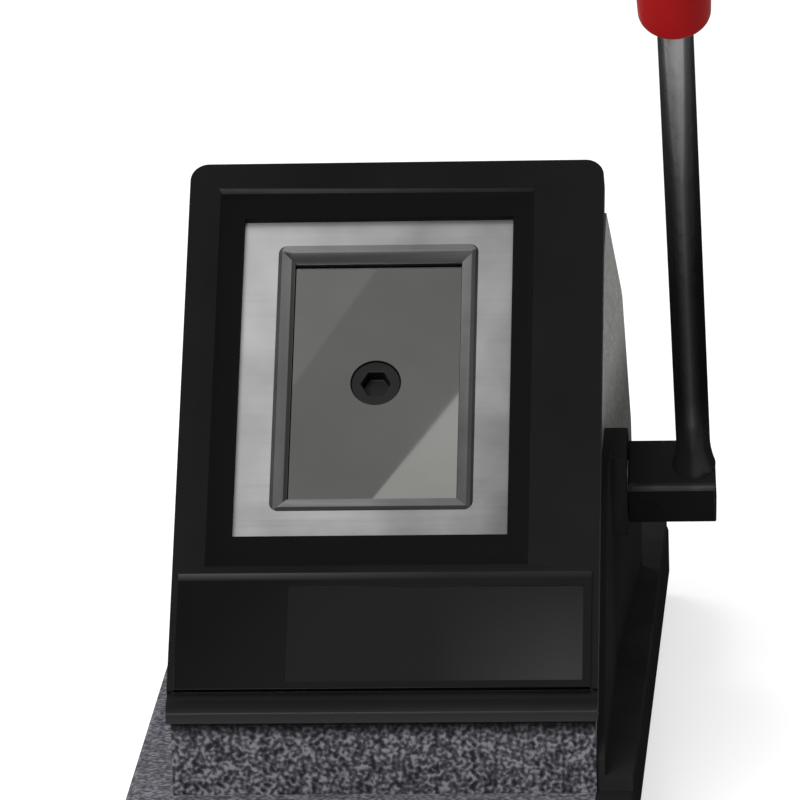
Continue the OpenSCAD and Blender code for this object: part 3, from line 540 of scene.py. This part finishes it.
def ground_steel():
    """Ground die: soft blotches with faint strokes, with painted shading brighter to the upper left; the mouth is
    dark with painted shade.
    """
    made, tree, shader = new_material("ground die steel", metallic=1.0)
    stroke = use_group(tree, "stroke", Scale=STROKE_SCALE)
    strokes = product(tree, stroke["Stroke"], STROKE_SHARE)
    both = total(tree, strokes, product(tree, stroke["Blotch"], BLOTCH_SHARE))
    low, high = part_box("die_plate")
    place = object_axes(tree)
    # Painted shading: a slanted ramp that lightens the die's upper left and darkens its lower right
    slant = math_node(tree, "SUBTRACT", place["X"], product(tree, place["Z"], DIE_SLANT))
    side = between(tree, slant, low.x - DIE_SLANT * high.z, high.x - DIE_SLANT * low.z, *DIE_SHADE)
    tone = ramp(tree, total(tree, both, side), DIE_TONES)
    # Painted shade: the mouth's marked faces take a dark tone
    tone = mix_colour(tree, written(tree, "mark"), tone, MOUTH_SHADE_TONE)
    tree.links.new(tone, shader.inputs["Base Color"])
    vary_roughness(tree, shader, stroke["Stroke"], low=0.36, high=0.4)
    set_bump(tree, shader, stroke["Stroke"], distance=0.0004 * MM)
    return made


def polished_steel():
    """Lapped punch: almost a mirror, a little olive; the marked bore is dull, and dark with painted shade."""
    made, tree, shader = new_material("lapped punch steel", metallic=1.0)
    grain = use_group(tree, "grain", Scale=900.0, Cloud=26.0)
    mark = written(tree, "mark")
    tone = cloudy(tree, grain["Cloud"], dark=(0.235, 0.235, 0.222), light=(0.275, 0.275, 0.265))
    # Painted shade: the marked bore takes a dark tone
    tree.links.new(mix_colour(tree, mark, tone, BORE_SHADE_TONE), shader.inputs["Base Color"])
    rough = spread(tree, grain["Cloud"], low=0.012, high=0.024)
    rough = greatest(tree, rough, product(tree, mark, BORE_ROUGH))
    tree.links.new(rough, shader.inputs["Roughness"])
    return made


def plain_metal(name, colour, rough):
    made, tree, shader = new_material(name, metallic=1.0)
    grain = use_group(tree, "grain", Scale=600.0, Cloud=60.0)
    tone = cloudy(tree, grain["Cloud"], dark=[METAL_DARK * c for c in colour], light=colour)
    tree.links.new(tone, shader.inputs["Base Color"])
    vary_roughness(tree, shader, grain["Cloud"], *rough)
    set_bump(tree, shader, grain["Grain"], distance=0.01 * MM)
    return made


def rod_steel():
    """Dark plated rod, with painted reflection brighter towards the grip and a painted highlight in a stripe along
    its front.
    """
    made, tree, shader = new_material("dark plated rod", metallic=0.5, specular=0.0)
    shader.inputs["Specular Tint"].default_value = ROD_TINT
    along = written(tree, "along")
    streak = noise(tree, STREAK_SCALE, detail=3.0, stretch=STREAK_STRETCH)
    tone = ramp(tree, total(tree, along, product(tree, streak, STREAK_SHARE)), ROD_REFLECTION_TONES)
    wider_top = between(tree, along, start=0.5, full=0.72, last=0.14)
    thinner_foot = between(tree, along, start=0.08, full=0.13, first=-0.12, last=0.0)
    front = total(tree, written(tree, "front"), total(tree, wider_top, thinner_foot))
    # Painted highlight: a bright stripe where the rod faces the front
    stripe = ramp(tree, front, STRIPE_HIGHLIGHT_TONES)
    tree.links.new(mix_colour(tree, stripe, (0, 0, 0), tone), shader.inputs["Base Color"])
    vary_roughness(tree, shader, streak, low=0.24, high=0.36)
    return made


def red_plastic():
    made, tree, shader = new_material("red grip", specular=0.01)
    grain = use_group(tree, "grain", Scale=700.0, Cloud=45.0)
    tone = cloudy(tree, grain["Cloud"], dark=(0.31, 0.009, 0.01), light=(0.37, 0.012, 0.013))
    tree.links.new(tone, shader.inputs["Base Color"])
    vary_roughness(tree, shader, grain["Cloud"], low=0.38, high=0.48)
    set_bump(tree, shader, grain["Grain"], distance=0.03 * MM)
    return made


def soft_rubber():
    made, tree, shader = new_material("foot rubber", specular=0.3)
    grain = use_group(tree, "grain", Scale=1100.0, Cloud=70.0)
    tree.links.new(cloudy(tree, grain["Cloud"], dark=0.012, light=0.02), shader.inputs["Base Color"])
    vary_roughness(tree, shader, grain["Cloud"], low=0.68, high=0.85)
    set_bump(tree, shader, grain["Grain"], distance=0.06 * MM)
    return made


FINISH = {
    "speckle_paint": speckle_paint("speckled hammer paint", tones=(0.02, 0.073, 0.23), specular=0.05),
    # Painted shade: the panel's marked recess and sides take a darker tone
    "black_paint": black_paint("black panel paint", tone=0.0027, specular=0.13, rough=(0.26, 0.36),
                               wear=0.12, marked=(0.0022, 0.0026), marked_rough=0.95, edge_rough=0.6,
                               painted_highlight=toe_painted_highlight, highlight_tone=0.021),
    # Painted sheen: the cover's field grows lighter to the right and downwards
    "black_gloss": black_paint("black gloss cover", tone=0.001, specular=0.14, rough=(0.1, 0.16),
                               wear=0.1, marked=(0.0045, 0.025), marked_down=down_cover,
                               painted_highlight=cover_edge_highlight, highlight_tone=0.055, bump=0.004),
    "die_steel": ground_steel(),
    "punch_steel": polished_steel(),
    "black_oxide": plain_metal("black oxide", colour=(0.026, 0.026, 0.027), rough=(0.5, 0.62)),
    "plain_steel": plain_metal("machined steel", colour=(0.5, 0.5, 0.51), rough=(0.28, 0.42)),
    "zinc_steel": plain_metal("zinc plate", colour=(0.6, 0.61, 0.63), rough=(0.3, 0.45)),
    "bronze": plain_metal("oiled bronze", colour=(0.12, 0.075, 0.035), rough=(0.45, 0.6)),
    "rod_chrome": rod_steel(),
    "red_grip": red_plastic(),
    "rubber": soft_rubber(),
}
BRACKET_BLACK = black_paint("matt bracket paint", tone=0.02, specular=0.0, rough=(0.5, 0.6), wear=0.1)
# Its strong wear paints a highlight on the hub's top front edge
HUB_BLACK = black_paint("matt hub paint", tone=0.0115, specular=0.0, rough=(0.5, 0.6), wear=0.65)
BASE_PAINT = speckle_paint("speckled base paint", tones=(0.07, 0.125, 0.23), specular=0.0,
                           black_from=BLACK_FROM)
OWN_FINISH = {"lever_bracket": BRACKET_BLACK, "lever_hub": HUB_BLACK, "hub_pin": HUB_BLACK,
              "base_plate": BASE_PAINT, "bed_plate": BRACKET_BLACK, "right_bush": BRACKET_BLACK}


def new_object(name, mesh):
    made = bpy.data.objects.new(name, mesh)
    bpy.context.scene.collection.objects.link(made)
    return made


def finish_of(name):
    return OWN_FINISH.get(name, FINISH[slot_of[name]])


def finish_piece(piece, body, name):
    """Gives a piece the material, slot and body of the node that it stands for, and hides that node."""
    piece.data.materials.clear()
    piece.data.materials.append(finish_of(name))
    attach(piece, body)
    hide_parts(name)


def plain_mesh(piece):
    """Turns an object's modifiers into its plain mesh."""
    graph = bpy.context.evaluated_depsgraph_get()
    made = bpy.data.meshes.new_from_object(piece.evaluated_get(graph))
    piece.modifiers.clear()
    piece.data = made


def merged(name):
    """Copy of a node's mesh with doubles merged and flat faces joined."""
    copy = bmesh.new()
    copy.from_mesh(frame["nodes"][name].data)
    bmesh.ops.remove_doubles(copy, verts=copy.verts, dist=MERGE)
    bmesh.ops.dissolve_limit(copy, angle_limit=FLAT, verts=copy.verts, edges=copy.edges)
    return copy


def rounded(name, piece_name, rounds, mark=None, wear_and_highlight_side=PANEL_OUT, cuts=(), clamp=True):
    """Copy of a node: sharp edges are rounded by width and test, and worn where they look to one side; on the
    panel frame and the hub that wear paints a highlight.

    Faces get a mark from 0 to 1; cuts are planes that split them for it."""
    copy = merged(name)
    for point, normal in cuts:
        bmesh.ops.bisect_plane(copy, geom=copy.verts[:] + copy.edges[:] + copy.faces[:], dist=MERGE,
                               plane_co=point, plane_no=normal)
    edge = copy.faces.layers.float.new("edge")
    marked = copy.faces.layers.float.new("mark")
    for width, where in rounds:
        edges = [e for e in copy.edges if len(e.link_faces) == 2 and e.calc_face_angle() > SHARP
                 and (where is None or where(e.verts[0].co, e.verts[1].co))]
        made = bmesh.ops.bevel(copy, geom=edges, offset=width * MM, segments=ROUND_STEPS, profile=0.5,
                               affect="EDGES", clamp_overlap=clamp)
        copy.normal_update()
        # The wear mark grows on faces that look to the given side; on the panel frame and the hub it paints a
        # highlight
        for face in made["faces"]:
            face[edge] = max((face.normal.dot(wear_and_highlight_side) - WEAR_AND_HIGHLIGHT_FROM) / (1 - WEAR_AND_HIGHLIGHT_FROM), 0)
    for face in copy.faces:
        face[marked] = float(mark(face)) if mark else 0
        face[edge] *= 1 - face[marked]
        face.smooth = True
    mesh = bpy.data.meshes.new(piece_name)
    copy.to_mesh(mesh)
    copy.free()
    mesh.set_sharp_from_angle(angle=SHARP)
    piece = new_object(piece_name, mesh)
    weighted = piece.modifiers.new("even light", "WEIGHTED_NORMAL")
    weighted.keep_sharp = True
    plain_mesh(piece)
    return piece


def lathe(name, profile, place):
    """Turned shape from (radius, height) pairs about Z, moved by a matrix.

    It carries its height and how far it faces the front as attributes."""
    shape = bmesh.new()
    rings = []
    for radius, height in profile:
        count = LATHE_STEPS if radius else 1
        turns = [2 * math.pi * k / LATHE_STEPS for k in range(count)]
        ring = [(radius * math.cos(a), radius * math.sin(a), height) for a in turns]
        rings.append([shape.verts.new(point) for point in ring])
    for low, high in zip(rings, rings[1:]):
        for k in range(LATHE_STEPS):
            corners = (low[k % len(low)], low[(k + 1) % len(low)],
                       high[(k + 1) % len(high)], high[k % len(high)])
            shape.faces.new(list(dict.fromkeys(corners)))
    bmesh.ops.recalc_face_normals(shape, faces=shape.faces)
    span = profile[-1][1] - profile[0][1]
    along = shape.verts.layers.float.new("along")
    front = shape.verts.layers.float.new("front")
    ahead = Vector((math.sin(ROD_STRIPE_TURN), -math.cos(ROD_STRIPE_TURN)))
    for vert in shape.verts:
        vert[along] = (vert.co.z - profile[0][1]) / span
        vert[front] = vert.co.xy.dot(ahead) / max(vert.co.xy.length, MERGE)
    for face in shape.faces:
        face.smooth = True
    shape.transform(place)
    mesh = bpy.data.meshes.new(name)
    shape.to_mesh(mesh)
    shape.free()
    mesh.set_sharp_from_angle(angle=SHARP)
    return new_object(name, mesh)


def arc(centre, radius, start, stop, steps=8):
    """Points of a profile arc, angles in degrees."""
    angles = [math.radians(start + (stop - start) * k / steps) for k in range(steps + 1)]
    return [(centre[0] + radius * math.cos(a), centre[1] + radius * math.sin(a)) for a in angles]


def islands(name):
    """Corner points of each separate solid of a node."""
    copy = merged(name)
    left = set(copy.verts)
    found = []
    while left:
        stack = [left.pop()]
        island = []
        while stack:
            vert = stack.pop()
            island.append(vert.co.copy())
            near = {e.other_vert(vert) for e in vert.link_edges} & left
            left -= near
            stack.extend(near)
        found.append(island)
    copy.free()
    return found


def spring_tree():
    """Helical springs on the points of the mesh."""
    tree = bpy.data.node_groups.new("spring set", "GeometryNodeTree")
    tree.interface.new_socket("Places", in_out="INPUT", socket_type="NodeSocketGeometry")
    for label in ("Wire", "Diameter", "Length", "Turns", "Tilt"):
        tree.interface.new_socket(label, in_out="INPUT", socket_type="NodeSocketFloat")
    tree.interface.new_socket("Finish", in_out="INPUT", socket_type="NodeSocketMaterial")
    tree.interface.new_socket("Springs", in_out="OUTPUT", socket_type="NodeSocketGeometry")
    given = tree.nodes.new("NodeGroupInput").outputs
    half_wire = product(tree, given["Wire"], 0.5)
    coil_r = product(tree, given["Diameter"], 0.5)
    rise = math_node(tree, "SUBTRACT", given["Length"], given["Wire"])
    coil = node(tree, "GeometryNodeCurveSpiral", {
        "Resolution": TURN_STEPS, "Rotations": given["Turns"], "Height": rise,
        "Start Radius": coil_r, "End Radius": coil_r})
    section = node(tree, "GeometryNodeCurvePrimitiveCircle", {
        "Resolution": WIRE_SIDES, "Radius": half_wire})
    wire = node(tree, "GeometryNodeCurveToMesh", {
        "Curve": coil.outputs[0], "Profile Curve": section.outputs[0], "Fill Caps": True})
    lift = node(tree, "ShaderNodeCombineXYZ", {"Z": half_wire})
    raised = node(tree, "GeometryNodeTransform", {
        "Geometry": wire.outputs[0], "Translation": lift.outputs[0]})
    tilt = node(tree, "ShaderNodeCombineXYZ", {"X": given["Tilt"]})
    placed = node(tree, "GeometryNodeInstanceOnPoints", {
        "Points": given["Places"], "Instance": raised.outputs[0], "Rotation": tilt.outputs[0]})
    real = node(tree, "GeometryNodeRealizeInstances", {"Geometry": placed.outputs[0]})
    painted = node(tree, "GeometryNodeSetMaterial", {
        "Geometry": real.outputs[0], "Material": given["Finish"]})
    end = tree.nodes.new("NodeGroupOutput")
    tree.links.new(painted.outputs[0], end.inputs[0])
    return tree


def set_inputs(modifier, values):
    """Sets a Geometry Nodes modifier's inputs by their sockets' identifiers."""
    for item in modifier.node_group.interface.items_tree:
        if item.in_out == "INPUT" and item.name in values:
            modifier[item.identifier] = values[item.name]


def return_springs():
    """Springs on the guide posts, which shorten as the punch slides."""
    back, front = depth_range("return_springs")
    places = []
    for island in islands("guide_posts"):
        middle = sum(island, Vector()) / len(island)
        places.append(middle + PANEL_OUT * (back - middle.dot(PANEL_OUT)))
    mesh = bpy.data.meshes.new("coil_springs")
    mesh.from_pydata(places, [], [])
    piece = new_object("coil_springs", mesh)
    coils = piece.modifiers.new("coils", "NODES")
    coils.node_group = spring_tree()
    set_inputs(coils, {
        "Wire": SPRING_WIRE, "Diameter": SPRING_D, "Length": front - back, "Turns": SPRING_TURNS,
        "Tilt": math.atan2(-PANEL_OUT.y, PANEL_OUT.z), "Finish": FINISH["zinc_steel"]})
    plain_mesh(piece)
    finish_piece(piece, "frame", "return_springs")
    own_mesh(piece)


def lever_place(name):
    """Frame of a turned lever part: Z along the rod, at the node's middle in X."""
    low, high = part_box(name)
    shift = Vector(((low.x + high.x) / 2, PIVOT.y, PIVOT.z))
    return Matrix.Translation(shift) @ Matrix.Rotation(LEVER_LEAN, 4, "X")


def lever_reach(name):
    """Least and greatest distance of a node from the pivot, along the lever."""
    reach = [(v.co - PIVOT).dot(LEVER_UP) for v in frame["nodes"][name].data.vertices]
    return min(reach), max(reach)


def lever_rod():
    """Rod with a flare where it leaves the hub."""
    low, high = lever_reach("lever_rod")
    foot = [(0, low), (ROD_R, low), (ROD_R, HUB_HALF)]
    steps = [k / FLARE_STEPS for k in range(FLARE_STEPS + 1)]
    flare = [(ROD_R + FLARE_W * (1 - part) ** 2, HUB_HALF + FLARE_H * part) for part in steps]
    top = [(ROD_R, high), (0, high)]
    piece = lathe("plated_rod", foot + flare + top, lever_place("lever_rod"))
    finish_piece(piece, "lever", "lever_rod")


def lever_grip():
    """Tapered grip with a rounded lower end, a domed head and the rod's bore."""
    start, stop = lever_reach("lever_grip")
    length = stop - start
    bore_l = lever_reach("lever_rod")[1] - start
    low = arc((GRIP_R0 - GRIP_END, GRIP_END), GRIP_END, -90, 0)
    head = length - CROWN_H
    turns = [math.radians(a) for a in range(0, 90, CROWN_STEP)]
    crown = [(GRIP_R1 * math.cos(a), head + CROWN_H * math.sin(a)) for a in turns]
    outline = [(ROD_R, 0)] + low + crown + [(0, length)]
    bore = [(0, bore_l), (ROD_R, bore_l), (ROD_R, 0)]
    place = lever_place("lever_grip") @ Matrix.Translation((0, 0, start))
    piece = lathe("red_handle", bore + outline, place)
    finish_piece(piece, "lever", "lever_grip")


def off_shaft(radius):
    """Test for edges that lie away from the shaft's bores."""
    return lambda a, b: min((p - PIVOT).yz.length for p in (a, b)) > radius


def outer_base(a, b):
    """Test for edges on the base's outline, whose right side runs out towards the back."""
    low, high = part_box("base_plate")
    inside = []
    for p in (a, b):
        right = high.x - BASE_TAPER * (high.y - p.y) / (high.y - low.y)
        gap = Vector((min(p.x - low.x, right - p.x), min(p.y - low.y, high.y - p.y)))
        past = Vector([max(BASE_CORNER - g, 0) for g in gap])
        inside.append(min(gap) if min(past) == 0 else BASE_CORNER - past.length)
    return max(inside) < NEAR


def beyond(side):
    """Test for edges that reach past a distance from the middle plane."""
    return lambda a, b: max(abs(a.x), abs(b.x)) > side


def near_front(limit):
    """Test for edges that lie within a depth of the panel's face."""
    face = depth_range("front_frame")[1]
    return lambda a, b: min(p.dot(PANEL_OUT) for p in (a, b)) > face - limit


def hub_edges(a, b):
    """Test for the hub's long edges, away from the shaft's bore and the pin's hole."""
    return (a - b).length > PIN_EDGE and off_shaft(HUB_BORE)(a, b)


def hub_front_edge(a, b):
    """Test for the edge between the hub's top and front."""
    corner = HUB_HALF - MM
    return all(min((p - PIVOT).dot(LEVER_UP), (p - PIVOT).dot(LEVER_AHEAD)) > corner for p in (a, b))


def level(a, b):
    """Test for edges that run across the panel."""
    return abs(a.x - b.x) > ACROSS * (a - b).length


def recess_edge():
    """Test for the upper edge of the panel's recess, which looks ahead."""
    top = up_range("front_frame")[1] - PANEL_RIM
    above = up_range("punch")[1]
    face = near_front(FACE_SKIN)
    return lambda a, b: above < a.dot(PANEL_UP) < top and level(a, b) and face(a, b)


def nose_edges():
    """Test for the two long edges of the panel's upright nose."""
    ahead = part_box("front_frame")[0].y + NEAR
    return lambda a, b: max(a.y, b.y) < ahead and level(a, b)


def recess_mark():
    """Mark of the front frame's outer sides and of the faces in its recess, above the lower cover, which take a
    darker tone as painted shade.
    """
    front = depth_range("front_frame")[1]
    above = up_range("lower_cover")[1] + MM
    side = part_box("front_frame")[1].x - MM

    def mark(face):
        middle = face.calc_center_median()
        sunk = middle.dot(PANEL_UP) > above and front - middle.dot(PANEL_OUT) > FACE_SKIN
        return sunk or abs(middle.x) > side
    return mark


def bore_mark():
    """Mark of the screw's bore in the middle of the punch, with its rim, which take painted shade."""
    middle = sum(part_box("punch"), Vector()) / 2
    return lambda face: (face.normal.dot(PANEL_OUT) < IN_PLANE
                         and (face.calc_center_median() - middle).length < BORE_REACH)


def field_mark():
    """Mark of the cover's sunk field, whose tone grows lighter to the right and down as a painted sheen."""
    front = depth_range("lower_cover")[1]
    return lambda face: (face.normal.dot(PANEL_OUT) > FACING
                         and front - face.calc_center_median().dot(PANEL_OUT) > FIELD_STEP)


def mouth_lines():
    """Edges of the mouth's shaded strips: left and right in X, top and bottom up the slope."""
    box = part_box("punch")
    low, high = up_range("punch")
    return box[0].x - LEFT_STRIP, box[1].x + OUTER_STRIP, high + TOP_STRIP, low - OUTER_STRIP


def mouth_cuts():
    """Planes along the edges of the mouth's shaded strips."""
    left, right, top, bottom = mouth_lines()
    across = Vector((1, 0, 0))
    return [(way * place, way) for way, place in (
        (across, left), (across, right), (PANEL_UP, top), (PANEL_UP, bottom))]


def mouth_mark():
    """Mark of the mouth's faces for painted shade: its steep outer step, its bevels and their shaded strips."""
    left, right, top, bottom = mouth_lines()

    def mark(face):
        out = face.normal.dot(PANEL_OUT)
        if out > FACING:
            return 0
        flat = (face.normal - out * PANEL_OUT).normalized()
        across, up = flat.x, flat.dot(PANEL_UP)
        middle = face.calc_center_median()
        if abs(across) > abs(up):
            (step, strip, rest), line = (MOUTH_LEFT, left) if across > 0 else (MOUTH_RIGHT, right)
            shaded = middle.x > line
        else:
            (step, strip, rest), line = (MOUTH_TOP, top) if up < 0 else (MOUTH_BOTTOM, bottom)
            shaded = middle.dot(PANEL_UP) < line
        if out < STEEP:
            return step
        return strip if shaded else rest
    return mark


def front_corner():
    """Mark of the housing's front right corner, which lies in the bracket's paint."""
    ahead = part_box("housing")[0].y + CORNER
    slope = depth_range("housing")[1] - CORNER

    def mark(face):
        middle = face.calc_center_median()
        return face.normal.x > RIGHTWARD and (middle.y < ahead or middle.dot(PANEL_OUT) > slope)
    return mark


def edge_rounds():
    """Makes the nodes whose edges are rounded.

    A row gives the node, piece, body, rounds in mm with tests, mark, worn and highlighted side, cuts and clamp."""
    clear = off_shaft(SHELL_HOLE)
    outer = beyond(SHELL_SIDE)
    rows = (
        ("base_plate", "painted_base", "frame", ((1.6, outer_base),)),
        ("housing", "painted_housing", "frame", ((1.6, lambda a, b: clear(a, b) and outer(a, b)),),
         front_corner()),
        # The recess's upper edge and the nose are worn towards the front with a painted highlight
        ("front_frame", "panel_frame", "frame", ((1.6, recess_edge()), (0.4, nose_edges())),
         recess_mark(), AHEAD, (), False),
        ("lower_cover", "gloss_cover", "frame", ((0.35, near_front(COVER_SKIN)),), field_mark()),
        ("die_plate", "cutting_die", "frame", ((0.25, None),), mouth_mark(), PANEL_OUT, mouth_cuts()),
        ("bed_plate", "bed_backing", "frame", ((0.5, beyond(BED_SIDE)),)),
        ("punch", "steel_punch", "ram", ((0.2, None),), bore_mark()),
        ("punch_screw", "socket_screw", "ram", ((0.4, None),)),
        ("lever_bracket", "side_bracket", "frame", ((0.8, clear),)),
        # The hub's top front edge is worn with a painted highlight
        ("lever_hub", "hub_block", "lever", ((1.8, hub_front_edge), (0.5, hub_edges)), None,
         AHEAD, (), False),
        ("rubber_feet", "soft_feet", "frame", ((0.6, None),)),
    )
    for name, piece_name, body, *look in rows:
        finish_piece(rounded(name, piece_name, *look), body, name)


def plain_nodes():
    """Gives the nodes that stay as they are their finish."""
    for name, part in frame["nodes"].items():
        if not part.hide_render:
            part.data.materials.clear()
            part.data.materials.append(finish_of(name))


def camera_axes():
    """Right, up and back of the camera."""
    turn, rise, roll = CAMERA_TURN, CAMERA_RISE, CAMERA_ROLL
    right = Vector((math.cos(turn), math.sin(turn), 0))
    up = Vector((-math.sin(turn) * math.sin(rise), math.cos(turn) * math.sin(rise), math.cos(rise)))
    back = right.cross(up)
    turned = math.cos(roll) * right - math.sin(roll) * up
    return turned, math.sin(roll) * right + math.cos(roll) * up, back


def add_camera():
    right, up, back = camera_axes()
    data = bpy.data.cameras.new("camera")
    data.sensor_width = SENSOR_MM
    data.lens = FOCAL_PX * SENSOR_MM / IMAGE_PX
    data.clip_end = SIGHT_END
    made = new_object("camera", data)
    made.matrix_world = Matrix.Translation(CAMERA_TARGET + back * CAMERA_DISTANCE) @ Matrix(
        (right, up, back)).transposed().to_4x4()
    bpy.context.scene.camera = made


def mirrored(pixel):
    """Where the sight line through a pixel, reflected by the punch, reaches the light cards' height."""
    right, up, back = camera_axes()
    eye = CAMERA_TARGET + back * CAMERA_DISTANCE
    half = IMAGE_PX / 2
    sight = right * (pixel[0] - half) - up * (pixel[1] - half) - back * FOCAL_PX
    face = depth_range("punch")[1]
    hit = eye + sight * (face - eye.dot(PANEL_OUT)) / sight.dot(PANEL_OUT)
    away = sight - 2 * sight.dot(PANEL_OUT) * PANEL_OUT
    return hit + away * (CARD_HEIGHT - hit.z) / away.z


def area_light(name, size, power, matrix):
    data = bpy.data.lights.new(name, "AREA")
    data.shape = "RECTANGLE"
    data.size, data.size_y = size
    data.energy = power
    new_object(name, data).matrix_world = matrix


def light_card(name, edge_px, inside_px, size, power):
    """Overhead card whose long edge the punch mirrors along a line of the picture."""
    first, second = (mirrored(pixel) for pixel in edge_px)
    along = (second - first).normalized()
    inward = Vector((-along.y, along.x, 0))
    if inward.dot(mirrored(inside_px) - first) < 0:
        inward = -inward
    side = inward.cross(Vector((0, 0, 1)))
    middle = (first + second) / 2 + inward * size[1] / 2
    turned = Matrix((side, inward, side.cross(inward))).transposed().to_4x4()
    area_light(name, size, power, Matrix.Translation(middle) @ turned)


def add_lights():
    light_card("bright card", *BRIGHT_CARD)
    light_card("faint card", *FAINT_CARD)
    for name, place, size, power in (("key", KEY_PLACE, KEY_SIZE, KEY_POWER),
                                     ("back", BACK_PLACE, BACK_SIZE, BACK_POWER)):
        aim = (place - CAMERA_TARGET).to_track_quat("Z", "Y").to_matrix().to_4x4()
        area_light(name, size, power, Matrix.Translation(place) @ aim)


def add_world():
    world = bpy.data.worlds.new("studio")
    bpy.context.scene.world = world
    world.use_nodes = True
    tree = world.node_tree
    place = node(tree, "ShaderNodeTexCoord").outputs["Generated"]
    height = node(tree, "ShaderNodeSeparateXYZ", {0: place})
    sky = ramp(tree, height.outputs["Z"], ((0.0, SKY_LOW), (1.0, SKY_HIGH)))
    tree.links.new(sky, tree.nodes["Background"].inputs["Color"])


def add_floor():
    """Pale floor: a matt surface with a lift for what the camera and the metals see."""
    side = FLOOR_SIDE / 2
    mesh = bpy.data.meshes.new("floor")
    corners = [(-side, -side, 0), (side, -side, 0), (side, side, 0), (-side, side, 0)]
    mesh.from_pydata(corners, [], [(0, 1, 2, 3)])
    made, tree, shader = new_material("pale floor", specular=0.0)
    shader.inputs["Roughness"].default_value = FLOOR_ROUGH
    shader.inputs["Base Color"].default_value = (FLOOR_TONE, FLOOR_TONE, FLOOR_TONE, 1)
    rays = node(tree, "ShaderNodeLightPath").outputs
    seen = greatest(tree, rays["Is Camera Ray"], rays["Is Glossy Ray"])
    seen = greatest(tree, seen, rays["Is Transmission Ray"])
    shader.inputs["Emission Color"].default_value = (1, 1, 1, 1)
    tree.links.new(product(tree, seen, FLOOR_LIFT), shader.inputs["Emission Strength"])
    mesh.materials.append(made)
    new_object("floor", mesh)


edge_rounds()
lever_rod()
lever_grip()
return_springs()
plain_nodes()
add_camera()
add_world()
add_lights()
add_floor()
bpy.context.scene.view_settings.view_transform = "Standard"
